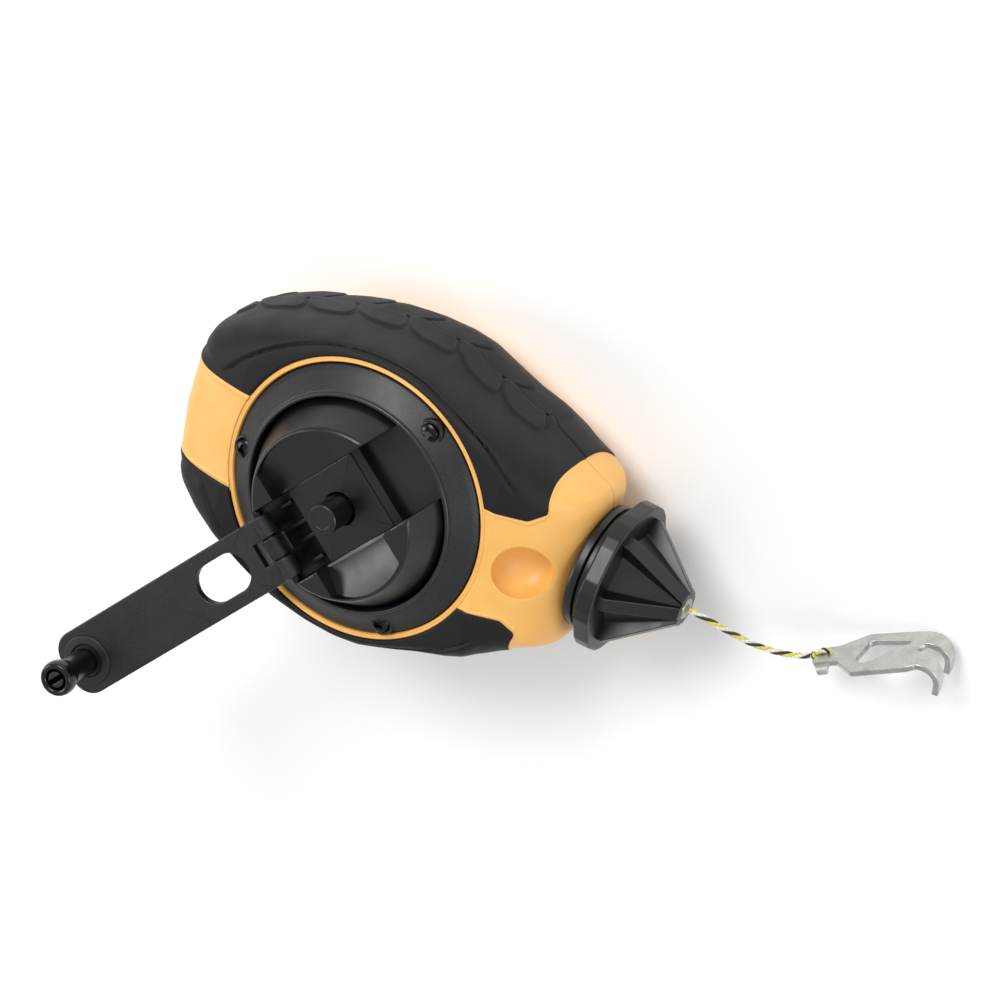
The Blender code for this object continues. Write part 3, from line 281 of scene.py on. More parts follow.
def piece(name, skins, body, materials, replaces=(), wall=0.0, crease=38.0, marks=None):
    """One object from closed skins, or from open ones that get a wall inwards, riding on a body."""
    verts, faces, used, base = [], [], [], 0
    for k, (points, quads) in enumerate(skins):
        verts.append(points)
        faces.append(quads + base)
        used.append(np.full(len(quads), marks[k] if marks else 0))
        base += len(points)
    mesh = bpy.data.meshes.new(name)
    mesh.from_pydata((np.vstack(verts) * MM).tolist(), [], np.vstack(faces).tolist())
    mesh.polygons.foreach_set("material_index", np.concatenate(used).astype(np.int32))
    bm = bmesh.new()
    bm.from_mesh(mesh)
    bmesh.ops.remove_doubles(bm, verts=bm.verts, dist=0.000002)
    bmesh.ops.dissolve_degenerate(bm, dist=0.0000005, edges=bm.edges)
    bmesh.ops.recalc_face_normals(bm, faces=bm.faces)
    if wall:
        middle = Vector((0.0, 0.0, MID * MM))
        turn = sum(f.normal.dot(f.calc_center_median() - middle) * f.calc_area() for f in bm.faces)
        if turn < 0:
            bmesh.ops.reverse_faces(bm, faces=bm.faces)
    bm.to_mesh(mesh)
    bm.free()
    for material in materials:
        mesh.materials.append(material)
    mesh.shade_smooth()
    mesh.set_sharp_from_angle(angle=math.radians(crease))
    item = bpy.data.objects.new(name, mesh)
    bpy.context.scene.collection.objects.link(item)
    if wall:
        solid = item.modifiers.new("wall", "SOLIDIFY")
        solid.thickness = wall * MM
        solid.offset = -1.0
    weighted = item.modifiers.new("flat_faces", "WEIGHTED_NORMAL")
    weighted.keep_sharp = True
    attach(item, body)
    if replaces:
        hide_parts(*replaces)
    return item


def turned(profile, steps=144, closed=True):
    """A profile of (radius, height) carried round +Z: x = r cos a, y = r sin a. It is closed on itself, or
    starts and ends on the axis."""
    profile = np.array(profile, float)
    angle = np.linspace(0, TAU, steps, endpoint=False)
    radius, height = profile[:, :1], profile[:, 1:]
    points = np.stack((radius * np.cos(angle), radius * np.sin(angle), height + 0 * angle), axis=-1)
    return skin(points, loop=closed)


def rectangle(left, right, low, high):
    """Its corners, counterclockwise."""
    return [(left, low), (right, low), (right, high), (left, high)]


def turned_solid(profile, edge, steps, bend=5):
    """A profile that starts and ends on the axis, with its corners eased, carried round +Z."""
    return turned(rounded(profile, edge, closed=False, steps=bend), steps, closed=False)


def moved(made, matrix):
    """The same skin after a 4 by 4 matrix."""
    matrix = np.array(matrix)
    return made[0] @ matrix[:3, :3].T + matrix[:3, 3], made[1]


def rounded(outline, radius, closed=True, steps=5):
    """Every corner of the outline turned into a bend that starts and ends radius away from it."""
    points = np.array(outline, float)
    if closed:
        before, after = np.roll(points, 1, 0), np.roll(points, -1, 0)
    else:
        before, after = np.vstack((points[:1], points[:-1])), np.vstack((points[1:], points[-1:]))
    bend = []
    t = np.linspace(0, 1, steps)[:, None]
    for i, point in enumerate(points):
        a, b = before[i] - point, after[i] - point
        size_a, size_b = np.linalg.norm(a), np.linalg.norm(b)
        if min(size_a, size_b) < 1e-9:
            bend.append(point[None])
            continue
        start = point + a / size_a * min(radius, 0.45 * size_a)
        end = point + b / size_b * min(radius, 0.45 * size_b)
        bend.append((1 - t) ** 2 * start + 2 * t * (1 - t) * point + t ** 2 * end)
    return np.vstack(bend)


def inset(outline, amount):
    """A closed counterclockwise outline moved inwards by amount along its corners' bisectors."""
    ahead = np.roll(outline, -1, 0) - outline
    ahead /= np.maximum(np.linalg.norm(ahead, axis=1, keepdims=True), 1e-9)
    behind = np.roll(ahead, 1, 0)
    inward = np.stack((-ahead[:, 1] - behind[:, 1], ahead[:, 0] + behind[:, 0]), axis=1)
    inward /= np.maximum(1 + (ahead * behind).sum(1, keepdims=True), 0.3)
    return outline + inward * amount


def edge_rows(low, high, edge, steps=5):
    """(inset, height) pairs up a wall with a quarter-round edge at both ends."""
    turn = np.linspace(0, math.pi / 2, steps)
    lower = [(edge * (1 - math.sin(a)), low + edge * (1 - math.cos(a))) for a in turn]
    upper = [(edge * (1 - math.cos(a)), high - edge * (1 - math.sin(a))) for a in turn]
    return lower + upper


def slab(outline, low, high, edge=0.3):
    """A flat plate: the outline carried up a wall with rounded edges and closed to a point in each face."""
    outline = np.array(outline, float)
    middle = outline.mean(0)
    rows = [np.column_stack((np.tile(middle, (len(outline), 1)), np.full(len(outline), low)))]
    for amount, height in edge_rows(low, high, edge):
        rows.append(np.column_stack((inset(outline, amount), np.full(len(outline), height))))
    rows.append(np.column_stack((np.tile(middle, (len(outline), 1)), np.full(len(outline), high))))
    return skin(np.array(rows))


def seen_from(outline, centre, angles):
    """Where rays from centre at these angles meet a closed outline that each crosses once."""
    corners = np.array(outline, float) - centre
    turn = np.unwrap(np.arctan2(corners[:, 1], corners[:, 0]))
    corners = np.vstack((corners, corners[:1]))
    turn = np.append(turn, turn[0] + TAU)
    angle = turn[0] + np.mod(angles - turn[0], TAU)
    k = np.clip(np.searchsorted(turn, angle, side="right") - 1, 0, len(corners) - 2)
    start, edge = corners[k], corners[k + 1] - corners[k]
    way = np.stack((np.cos(angle), np.sin(angle)), axis=1)
    start_x, start_y, edge_x, edge_y = *start.T, *edge.T
    reach = (start_x * edge_y - start_y * edge_x) / (way[:, 0] * edge_y - way[:, 1] * edge_x)
    return np.array(centre) + way * reach[:, None]


def holed_slab(outer, inner, centre, low, high, edge=0.3, steps=240):
    """A plate with one hole. Rays from the hole's centre pair the two outlines, and the section between them
    goes up the outer wall, over its rounded edge, across, and down the hole's wall."""
    angles = [np.linspace(0, TAU, steps, endpoint=False)]
    for outline in (outer, inner):
        away = np.array(outline, float) - centre
        angles.append(np.mod(np.arctan2(away[:, 1], away[:, 0]), TAU))
    angles = np.unique(np.round(np.concatenate(angles), 6))
    out, hole = seen_from(outer, centre, angles), seen_from(inner, centre, angles)
    rows = []
    for amount, height in edge_rows(low, high, edge):
        rows.append(np.column_stack((inset(out, amount), np.full(len(out), height))))
    for amount, height in reversed(edge_rows(low, high, edge)):
        rows.append(np.column_stack((inset(hole, -amount), np.full(len(hole), height))))
    return skin(np.array(rows), loop=True)


def carried(section, path, normals, widths=None):
    """A closed section of (side, up) points carried along a path: point + side * sideways + up * normal."""
    path, normals = np.array(path, float), np.array(normals, float)
    ahead = np.gradient(path, axis=0)
    ahead /= np.linalg.norm(ahead, axis=1, keepdims=True)
    side = np.cross(ahead, normals)
    scale = np.ones(len(path)) if widths is None else np.array(widths)
    section = np.array(section, float)
    points = (path[:, None] + side[:, None] * (section[None, :, :1] * scale[:, None, None])
              + normals[:, None] * section[None, :, 1:])
    return capped(points, path)


def capped(points, path):
    """The skin of sections along a path, closed to the path's first and last point."""
    first, last = [np.repeat(end[:, None], points.shape[1], 1) for end in (path[:1], path[-1:])]
    return skin(np.concatenate((first, points, last)))


def circles(path, side, up, radius, sides):
    """A circle round each point of a path, in the plane of side and up."""
    angle = np.linspace(0, TAU, sides, endpoint=False)[None, :, None]
    return path[:, None] + (side[:, None] * np.cos(angle) + up[:, None] * np.sin(angle)) * radius


def tube(path, radius, sides):
    """A round rod along a path, closed at both ends."""
    return capped(circles(path, *frames(path), radius, sides), path)


def tube_loop(path, radius, sides=10):
    """A round rod along a closed path."""
    ahead = np.roll(path, -1, 0) - np.roll(path, 1, 0)
    ahead /= np.linalg.norm(ahead, axis=1, keepdims=True)
    side = np.cross(ahead, path - path.mean(0))
    side /= np.linalg.norm(side, axis=1, keepdims=True)
    return skin(circles(path, side, np.cross(side, ahead), radius, sides), loop=True)


def frames(path):
    """Two unit vectors square to the path at each point, the second as near to +Z as it can be."""
    ahead = np.gradient(path, axis=0)
    ahead /= np.linalg.norm(ahead, axis=1, keepdims=True)
    side = np.cross(ahead, (0.0, 0.13, 0.99))
    side /= np.linalg.norm(side, axis=1, keepdims=True)
    return side, np.cross(side, ahead)


def smooth_path(points, steps):
    """Points along a Catmull-Rom curve through the given ones."""
    points = np.array(points, float)
    padded = np.vstack((points[:1], points, points[-1:]))
    t = np.linspace(0, 1, steps, endpoint=False)[:, None]
    parts = []
    for a, b, c, d in zip(padded, padded[1:], padded[2:], padded[3:]):
        parts.append(0.5 * (2 * b + (c - a) * t + (2 * a - 5 * b + 4 * c - d) * t * t
                            + (3 * b - a - 3 * c + d) * t * t * t))
    return np.vstack(parts + [points[-1:]])


def smoothstep(value, low, high):
    """0 below low, 1 above high, and a smooth rise between them."""
    t = np.clip((value - low) / (high - low), 0, 1)
    return t * t * (3 - 2 * t)


def rounding(distance, radius):
    """How far an edge of this radius has dropped at a distance from the edge's end."""
    short = np.clip(radius - distance, 0, radius)
    return radius - np.sqrt(radius * radius - short * short)


def lifted(points, lift):
    """A grid moved outwards along its unit normals, on the side away from the object's middle."""
    normal = np.cross(np.gradient(points, axis=1), np.gradient(points, axis=0))
    normal /= np.maximum(np.linalg.norm(normal, axis=-1, keepdims=True), 1e-9)
    away = points - np.array((0.0, 0.0, MID))
    return points + normal * np.sign((normal * away).sum()) * lift[..., None]


# ---- camera, floor and light ----
def add_camera():
    """A long lens from above the upper grip: the reel lies across the frame with its hook on the right."""
    back = Vector((0.334, 0.476, 0.814)).normalized()
    right = Vector((-0.419, 0.8485, -0.3235)).cross(back).normalized()
    middle, distance, width = Vector((0.0345, 0.0095, 0.0363)), 0.90, 0.280
    data = bpy.data.cameras.new("camera")
    data.sensor_width = 36.0
    data.lens = data.sensor_width * distance / width
    data.clip_start, data.clip_end = 0.05, 20.0
    item = bpy.data.objects.new("camera", data)
    bpy.context.scene.collection.objects.link(item)
    turn = Matrix((right, back.cross(right), back)).transposed().to_4x4()
    item.matrix_world = Matrix.Translation(middle + back * distance) @ turn
    bpy.context.scene.camera = item


def add_light(name, place, size, power, aim=Vector((0.03, 0.0, 0.03))):
    """A round soft light that looks at the reel."""
    data = bpy.data.lights.new(name, "AREA")
    data.shape = "DISK"
    data.size = size
    data.energy = power
    item = bpy.data.objects.new(name, data)
    bpy.context.scene.collection.objects.link(item)
    item.location = place
    item.rotation_euler = (aim - Vector(place)).to_track_quat("-Z", "Y").to_euler()


def studio():
    """A pale floor, a big soft light over the upper grip, a weaker one at the nozzle and a white room."""
    mesh = bpy.data.meshes.new("floor")
    mesh.from_pydata([(-4, -4, 0), (4, -4, 0), (4, 4, 0), (-4, 4, 0)], [], [(0, 1, 2, 3)])
    floor = bpy.data.objects.new("floor", mesh)
    mesh.materials.append(WHITE_BOARD)
    bpy.context.scene.collection.objects.link(floor)
    add_light("key", (-0.25, 0.70, 0.92), 0.6, 7.5)
    add_light("fill", (0.9, 0.1, 0.55), 0.5, 2.5)
    add_light("side", (-0.86, -0.17, 0.76), 0.45, 3.0)
    world = bpy.data.worlds.new("white_room")
    world.use_nodes = True
    world.node_tree.nodes["Background"].inputs["Color"].default_value = linear("#FFFFFF")
    world.node_tree.nodes["Background"].inputs["Strength"].default_value = 0.58
    bpy.context.scene.world = world
    bpy.context.scene.view_settings.view_transform = "Standard"


# ---- line ----
def line_parts():
    """The free line: three yarns wound round the route, each strand's centre at
    route + offset * (side cos(turn) + up sin(turn)), and its loop and knot on the hook."""
    route = smooth_path(LINE_ROUTE, 16) / MM
    length = np.concatenate(([0.0], np.cumsum(np.linalg.norm(np.diff(route, axis=0), axis=1))))
    side, up = frames(route)
    skins = []
    for k in range(3):
        turn = TAU * length / TWIST + TAU * k / 3
        wave = STRAND_OFFSET * (1 + 0.08 * np.sin(length * 2.1 + k))
        centre = route + side * (wave * np.cos(turn))[:, None] + up * (wave * np.sin(turn))[:, None]
        skins.append(tube(centre, STRAND_R, 12))
    item = piece("twisted_line", skins, "line_end", [WHITE_YARN, YELLOW_YARN, BLACK_YARN],
                 ["line_free"], marks=[0, 1, 2], crease=80.0)
    return item, route, length[-1]


def line_loop():
    """The end of the line, through the hook's eye, back over its edge and tied in a small knot."""
    matrix = np.array(hook_matrix())
    turn = np.linspace(0, TAU, 49)[:-1]
    skins = []
    for k in range(3):
        twist = turn * 3 + TAU * k / 3
        radius = 1.0 + 0.30 * np.cos(twist)
        path = np.column_stack((1.1 + (1.5 + radius) * np.cos(turn) * 0.95,
                                8.6 + 0.55 * np.sin(twist) + 0.5 * np.sin(turn),
                                (0.75 + radius) * np.sin(turn)))
        path = path @ matrix[:3, :3].T + matrix[:3, 3]
        skins.append(tube_loop(path, 0.42))
    knot_centre = np.array((-1.9, 8.6, -0.2)) @ matrix[:3, :3].T + matrix[:3, 3]
    for k in range(3):
        lean = 0.5 * (k - 1)
        path = np.column_stack((0.55 * np.cos(turn) + lean * 0.8, 1.05 * np.sin(turn), np.cos(turn + lean)))
        skins.append(tube_loop(path @ matrix[:3, :3].T + knot_centre, 0.45))
    return piece("line_loop_and_knot", skins, "line_end",
                 [WHITE_YARN, YELLOW_YARN, BLACK_YARN], marks=[0, 1, 2, 0, 2, 1], crease=80.0)


# ---- hook ----
def hook_matrix():
    """Along the hook, up its width, and out of the side to which its claws bend."""
    across = Vector((math.sin(HOOK_ANGLE), -math.cos(HOOK_ANGLE), 0.0))
    along = Vector((math.cos(HOOK_ANGLE), math.sin(HOOK_ANGLE), 0.0))
    wide = Vector((0, 0, 1)) * math.cos(HOOK_LEAN) + across * math.sin(HOOK_LEAN)
    turn = Matrix((along, wide, along.cross(wide))).transposed().to_4x4()
    return Matrix.Translation(HOOK_ORIGIN) @ turn


def hook():
    """A stamped plate with a long window, two curved claws with straight tips, and two tabs folded over the
    line's end."""
    matrix = hook_matrix()
    half = HOOK_THICK / 2
    outer = rounded([(-1.5, 5.6), (4.5, 5.0), (9.0, 2.4), (12.5, 0.2), (28.5, 1.0), (32.0, 1.6), (32.0, 7.4),
                     (29.5, 9.7), (32.0, 12.0), (32.0, 17.8), (29.5, 18.8), (12.5, 18.9), (9.0, 15.6),
                     (6.0, 12.6), (-1.5, 12.5)], 0.9)
    window = rounded([(13.4, 4.7), (15.0, 3.9), (25.6, 5.4), (27.4, 6.3), (25.6, 7.7), (21.8, 9.4),
                      (18.0, 13.4), (15.0, 14.8), (12.6, 13.4), (12.0, 11.4)], 0.7)
    skins = [holed_slab(outer, window, (18.0, 8.6), -half, half, 0.28, 360)]
    section = rounded(rectangle(-3.0, 3.0, -half, half), 0.45)
    angle = np.radians(np.linspace(-2, 118, 30))
    end = angle[-1]
    reach = np.linspace(0.4, 3.4, 8)[:, None]
    normals = np.vstack((np.column_stack((-np.sin(angle), 0 * angle, np.cos(angle))),
                         np.tile((-math.sin(end), 0.0, math.cos(end)), (len(reach), 1))))
    widths = np.interp(np.arange(len(normals)), (0, 10, 26, 37), (1.0, 0.98, 0.80, 0.56))
    for middle in (4.5, 14.9):
        path = np.column_stack((CLAW_FOOT + CLAW_BEND * np.sin(angle), np.full(len(angle), middle),
                                CLAW_BEND * (1 - np.cos(angle))))
        path = np.vstack((path, path[-1] + reach * np.array((math.cos(end), 0.0, math.sin(end)))))
        skins.append(carried(section, path, normals, widths))
    tab = rounded(rectangle(-2.2, 2.2, -0.5, 0.5), 0.3)
    angle = np.radians(np.linspace(0, 96, 16))
    for middle, sign in ((5.6, 1.0), (12.3, -1.0)):
        path = np.column_stack((np.full(16, 1.6), middle - sign * 0.2 - sign * 1.5 * np.sin(angle) * 0.9,
                                0.4 + 1.7 * (1 - np.cos(angle))))
        normals = np.column_stack((0 * angle, sign * np.sin(angle), np.cos(angle)))
        skins.append(carried(tab, path, normals, np.linspace(1, 0.7, 16)))
    return piece("stamped_hook", [moved(made, matrix) for made in skins], "line_end",
                 [HOOK_STEEL], ["hook"], crease=30.0)


# ---- housing ----
def outline_table():
    """The outline's reach from the spool's axis at each angle, with its corners eased by a short average."""
    lower = [(x, -y) for x, y in reversed(OUTLINE[1:-1])]
    angle = np.linspace(-math.pi, math.pi, 7201)[:-1]
    reach = np.linalg.norm(seen_from(OUTLINE + lower, (0.0, 0.0), angle), axis=1)
    ease = 45
    kernel = np.hanning(2 * ease + 1)
    around = np.concatenate((reach[-ease:], reach, reach[:ease]))
    return angle, np.convolve(around, kernel / kernel.sum(), "valid")


OUTLINE_ANGLE, OUTLINE_REACH = outline_table()


def outline_reach(angle):
    """The outline's distance from the spool's axis at these angles."""
    return np.interp(np.mod(angle + math.pi, TAU) - math.pi, OUTLINE_ANGLE, OUTLINE_REACH, period=TAU)


def superellipse(turn, power):
    """Share of the way out and share of the height at this turn, on a superellipse of that power."""
    s, c = np.sin(turn), np.maximum(np.cos(turn), 0.0)
    size = (s ** power + c ** power) ** (1 / power)
    return s / size, c / size


def front_surface(angle, turn):
    """The front half, from the ring at turn 0 to the parting plane at turn 90 degrees. The radius grows from
    the ring to the outline and the height falls, both along a superellipse, and the face slopes down along
    the nose and the rear."""
    spread, rise = superellipse(turn, FRONT_POWER)
    radius = RING_R + (outline_reach(angle) - RING_R) * spread
    x, y = radius * np.cos(angle), radius * np.sin(angle)
    top = THICK - MID - NOSE_SLOPE * np.maximum(0, x - RING_R) - REAR_SLOPE * np.maximum(0, -x - RING_R)
    return np.stack((x, y, MID + rise * top + 0 * angle), axis=-1)


def back_surface(angle, turn, share_low=BASE_SHARE):
    """The back half, from the edge of the flat at turn 0 to the parting plane at turn 90 degrees."""
    spread, drop = superellipse(turn, BACK_POWER)
    share = share_low + (1 - share_low) * spread
    reach = outline_reach(angle)
    x, y = reach * share * np.cos(angle), reach * share * np.sin(angle)
    return np.stack((x, y, MID - drop * (MID - BASE_LIFT) + 0 * angle), axis=-1)


def grip_limits(surface, turns):
    """For each turn, the first and last angle at which the surface lies inside the upper grip's plan."""
    angle = np.linspace(0.0, math.pi, 9001)
    first, last = [], []
    for turn in turns:
        points = surface(angle, np.full_like(angle, turn))
        x, y = points[:, 0], points[:, 1]
        inside = (y > np.interp(x, *GRIP_LOW)) & (x < np.interp(y, *GRIP_NOSE))
        hit = np.flatnonzero(inside)
        first.append(angle[hit[0]])
        last.append(angle[hit[-1]])
    ease = np.hanning(5) / np.hanning(5).sum()
    return [np.convolve(np.pad(np.array(v), 2, mode="edge"), ease, "valid") for v in (first, last)]


def along_rows(points):
    """Distance from the start of each row, in millimetres, and the same down each column."""
    across = np.linalg.norm(np.diff(points, axis=1), axis=-1)
    down = np.linalg.norm(np.diff(points, axis=0), axis=-1)
    across = np.concatenate((np.zeros((len(points), 1)), np.cumsum(across, axis=1)), axis=1)
    down = np.concatenate((np.zeros((1, points.shape[1])), np.cumsum(down, axis=0)), axis=0)
    return across, down


def finger_pads(along, up, total, shift):
    """Raised D-shaped pads along the parting line. Each leans with a diagonal flank, and its free end is
    round: the pad is where up < reach * (1 - |2 f - 1| ** 3) ** (1 / 3), with f its share of one pitch."""
    place = (along + 0.55 * up + shift) / PAD_PITCH
    f = place - np.floor(place)
    reach = PAD_REACH * np.maximum(1 - np.abs(2 * f - 1) ** 3, 0) ** (1 / 3)
    raised = smoothstep(reach - up, 0.0, 1.1) * smoothstep(np.minimum(f, 1 - f) * PAD_PITCH, 0.15, 1.0)
    ends = smoothstep(along, 12.0, 14.0) * smoothstep(total - along, 12.0, 14.0)
    return PAD_HEIGHT * raised * ends


def grip(word, mirror, back):
    """Rubber over one long side of one half. Its grid runs from edge to edge of the grip's plan, and the
    surface is lifted along its normal: rounded edges, a step along the ridge, and the finger pads."""
    surface, turns = (back_surface, BACK_TURNS) if back else (front_surface, FRONT_TURNS)
    first, last = grip_limits(surface, turns)
    u = np.linspace(0, 1, 330)
    u = 0.6 * u + 0.4 * (0.5 - 0.5 * np.cos(math.pi * u))
    angle = first[:, None] + (last - first)[:, None] * u
    turn = np.repeat(turns[:, None], len(u), 1)
    points = surface(angle, turn)
    across, down = along_rows(points)
    total = across[:, -1:]
    to_parting = down[-1:] - down
    to_start = down + (0.0 if back else 0.15)
    edge = np.minimum(np.minimum(across, total - across), np.minimum(to_start, to_parting + 0.1))
    lift = GRIP_PROUD - rounding(edge, 0.9)
    long = across * (total[-1] / total)
    lift = lift + finger_pads(long, to_parting, total[-1], 4.0 if back else 0.0)
    if not back:
        ridge = RIDGE_FROM + RIDGE_GROWTH * (np.abs(long / total[-1] - 0.52) * 2) ** 2
        ends = smoothstep(long, 9.0, 15.0) * smoothstep(total[-1] - long, 3.0, 6.0)
        groove = 0.45 * np.exp(-((down - ridge) / 0.45) ** 2)
        lift += ends * (0.55 * smoothstep(down, ridge, ridge + 1.2) - groove)
    points = lifted(points, lift)
    wave = SEAM_WAVE * np.sin(TAU * long / PAD_PITCH) * smoothstep(to_parting, 5.0, 0.0)
    wave = wave * smoothstep(long, 10.0, 18.0) * smoothstep(total[-1] - long, 10.0, 18.0)
    points[..., 2] += wave + (-0.12 if back else 0.12) * (to_parting < 0.01)
    if mirror:
        points = points * np.array((1.0, -1.0, 1.0))
    name = "grip_%s_%s" % (word, "back" if back else "front")
    piece("rubber_" + name, [skin(points, around=False)], "housing", [GRIP_RUBBER], [name],
          wall=1.3, crease=60.0)


def plan_to_turns(x, y):
    """The angle and turn of the front surface's point over a place in its plan."""
    angle = np.arctan2(y, x)
    spread = np.clip((np.hypot(x, y) - RING_R) / (outline_reach(angle) - RING_R), 0, 0.999)
    rise = (1 - spread ** FRONT_POWER) ** (1 / FRONT_POWER)
    return angle, np.arctan2(spread, rise)


def border_bead(distance):
    """Height of the bead that runs beside the rubber, at this distance from the yellow face's border."""
    return 0.28 * np.exp(-((distance - 2.2) / 0.55) ** 2)


def nose_front():
    """The nose's yellow face: rings from the dimple's rim out to the patch's border, and the dimple as a
    half sphere below its rim. Between rim and border the angle and the turn change in a straight line."""
    first = grip_limits(front_surface, FRONT_TURNS)[0] + UNDER_GRIP
    around = np.linspace(0, TAU, 480, endpoint=False)
    lean = math.atan(NOSE_SLOPE)
    rim_x = DIMPLE_X + DIMPLE_R * np.cos(around) * math.cos(lean)
    rim_angle, rim_turn = plan_to_turns(rim_x, DIMPLE_R * np.sin(around))
    share = rim_angle / np.interp(rim_turn, FRONT_TURNS, first)
    level = rim_turn / (math.pi / 2)
    centre = np.array((0.0, level.mean()))
    away = np.arctan2(level - centre[1], share - centre[0])
    box = np.array(rectangle(-1, 1, 0, 1), float)
    border = seen_from(box, centre, away)
    for point in box:
        toward = np.arctan2(point[1] - centre[1], point[0] - centre[0])
        border[np.abs(np.angle(np.exp(1j * (away - toward)))).argmin()] = point
    k = np.concatenate((np.linspace(0, 0.1, 10)[:-1], np.linspace(0.1, 0.9, 44)[:-1],
                        np.linspace(0.9, 1, 22)))[:, None]
    share_rows = share + (border[:, 0] - share) * k
    level_rows = level + (border[:, 1] - level) * k
    turn = level_rows * math.pi / 2
    angle = share_rows * np.interp(turn, FRONT_TURNS, first)
    points = front_surface(angle, turn)
    off_border = np.cumsum(np.linalg.norm(np.diff(points[::-1], axis=0), axis=-1), axis=0)[::-1]
    off_border = np.vstack((off_border, np.zeros((1, len(around)))))
    beside = smoothstep(np.abs(border[:, 0]), 0.97, 1.0)
    under = smoothstep(border[:, 1], 0.97, 1.0)
    bead = border_bead(off_border) * beside * (1 - under)
    lip = -0.16 * np.exp(-(np.arange(len(k)) / 2.2) ** 2)[:, None]
    lift = bead + lip - rounding(off_border + 0.02, 0.5) * under
    points = lifted(points, lift)
    deep = np.linspace(math.pi / 2, 0, 26)[1:, None]
    centre_point = points[0].mean(0)
    bowl = (points[0] - centre_point) * np.sin(deep)[..., None]
    down = np.array((-math.sin(lean), 0.0, -math.cos(lean)))
    bowl = centre_point + bowl + down * (DIMPLE_R * 0.93 * np.cos(deep))[..., None]
    return skin(np.concatenate((bowl[::-1], points)))


def rear_front():
    """The rear's yellow face, from under one grip to under the other."""
    last = grip_limits(front_surface, FRONT_TURNS)[1] - UNDER_GRIP
    u = np.linspace(-1, 1, 160)
    angle = math.pi + (math.pi - last)[:, None] * u
    turn = np.repeat(FRONT_TURNS[:, None], len(u), 1)
    points = front_surface(angle, turn)
    across, down = along_rows(points)
    to_side = np.minimum(across, across[:, -1:] - across)
    lift = border_bead(to_side) - rounding(down[-1:] - down + 0.02, 0.5)
    points = lifted(points, lift)
    return skin(points, around=False)


def housing_front():
    """Yellow front shell: the ring with its two beads, the nose and the rear."""
    top = THICK
    ring = rounded([(40.30, top - 5), (40.30, top - 0.55), (40.62, top - 0.02), (41.05, top - 0.02),
                    (41.22, top - 0.30), (41.42, top - 0.12), (41.85, top - 0.20), (42.25, top - 0.75),
                    (42.30, top - 5)], 0.16, steps=4)
    piece("yellow_ring", [turned(ring, 240)], "housing", [YELLOW_ABS], ["housing_front"])
    for name, made in (("yellow_nose_face", nose_front()), ("yellow_rear_face", rear_front())):
        piece(name, [made], "housing", [YELLOW_ABS], ["housing_front"], wall=YELLOW_WALL,
              crease=50.0)


def housing_back():
    """Yellow back shell: the whole skin of the back with its four screw wells, and a boss round each."""
    angle = np.linspace(0, TAU, 420, endpoint=False)
    flat = np.linspace(0, 1, 46)[:-1, None] * BASE_SHARE * outline_reach(angle)
    base = np.stack((flat * np.cos(angle), flat * np.sin(angle), BASE_LIFT + 0 * flat), axis=-1)
    turns = np.linspace(0, math.pi / 2, 96)[:, None] + 0 * angle
    wall = back_surface(angle + 0 * turns, turns)
    points = np.concatenate((base, wall))
    down = along_rows(points)[1]
    points = lifted(points, -rounding(down[-1:] - down + 0.02, 0.5))
    middle = (points[:-1] + points[1:]) / 2
    keep = np.ones(middle.shape[:2], bool)
    for x, y in BACK_POSTS:
        keep &= (np.hypot(middle[..., 0] - x, middle[..., 1] - y) > 3.9) | (middle[..., 2] > 12.0)
    piece("yellow_back_shell", [skin(points, keep=keep)], "housing", [YELLOW_ABS],
          ["housing_back"], wall=YELLOW_WALL, crease=50.0)
    boss = rounded([(3.2, 8.5), (3.2, 0.9), (3.5, 0.55), (4.3, 0.55), (4.9, 1.2), (4.9, 4.0), (3.9, 8.5)],
                   0.15, steps=3)
    skins = []
    for x, y in BACK_POSTS:
        lift = 0.4 if x < 0 else 2.2
        skins.append(moved(turned(boss, 72), Matrix.Translation((x, y, lift))))
    piece("back_screw_bosses", skins, "housing", [YELLOW_ABS])


def bezel():
    """Conical black face round the disc, and the bead at its inner edge, painted grey as a highlight."""
    top = BEZEL_TOP
    face = rounded([(32.9, top - 10), (32.9, top - 0.55), (33.4, top - 0.75), (38.5, THICK + 0.75),
                    (39.75, THICK - 0.2), (40.0, THICK - 1.0), (40.0, THICK - 5)], 0.35)
    piece("grained_bezel", [turned(face, 240)], "housing", [GRAINED_ABS], ["front_bezel"])
    # the bead's lighter grey is a painted highlight
    bead = rounded([(31.6, top - 11), (31.6, top - 0.5), (31.9, top), (32.6, top), (33.0, top - 0.35),
                    (33.0, top - 11)], 0.22)
    piece("highlight_grey_bezel_lip", [turned(bead, 240)], "housing", [LIP_HIGHLIGHT_ABS], ["front_bezel"])
    cup = rounded([(3.15, 52.0), (3.15, 56.9), (3.3, 57.15), (3.7, 57.1), (4.0, 56.6), (4.0, 52.0)], 0.12,
                  steps=3)
    skins = [moved(turned(cup, 60), at_screw(turn, 0.75)) for turn in SCREW_TURNS]
    piece("bezel_screw_cups", skins, "housing", [SATIN_ABS])


def at_screw(turn, height):
    """Where a bezel screw is, at this turn round the spool's axis."""
    return Matrix.Translation((SCREW_RING_R * math.cos(turn), SCREW_RING_R * math.sin(turn), height))


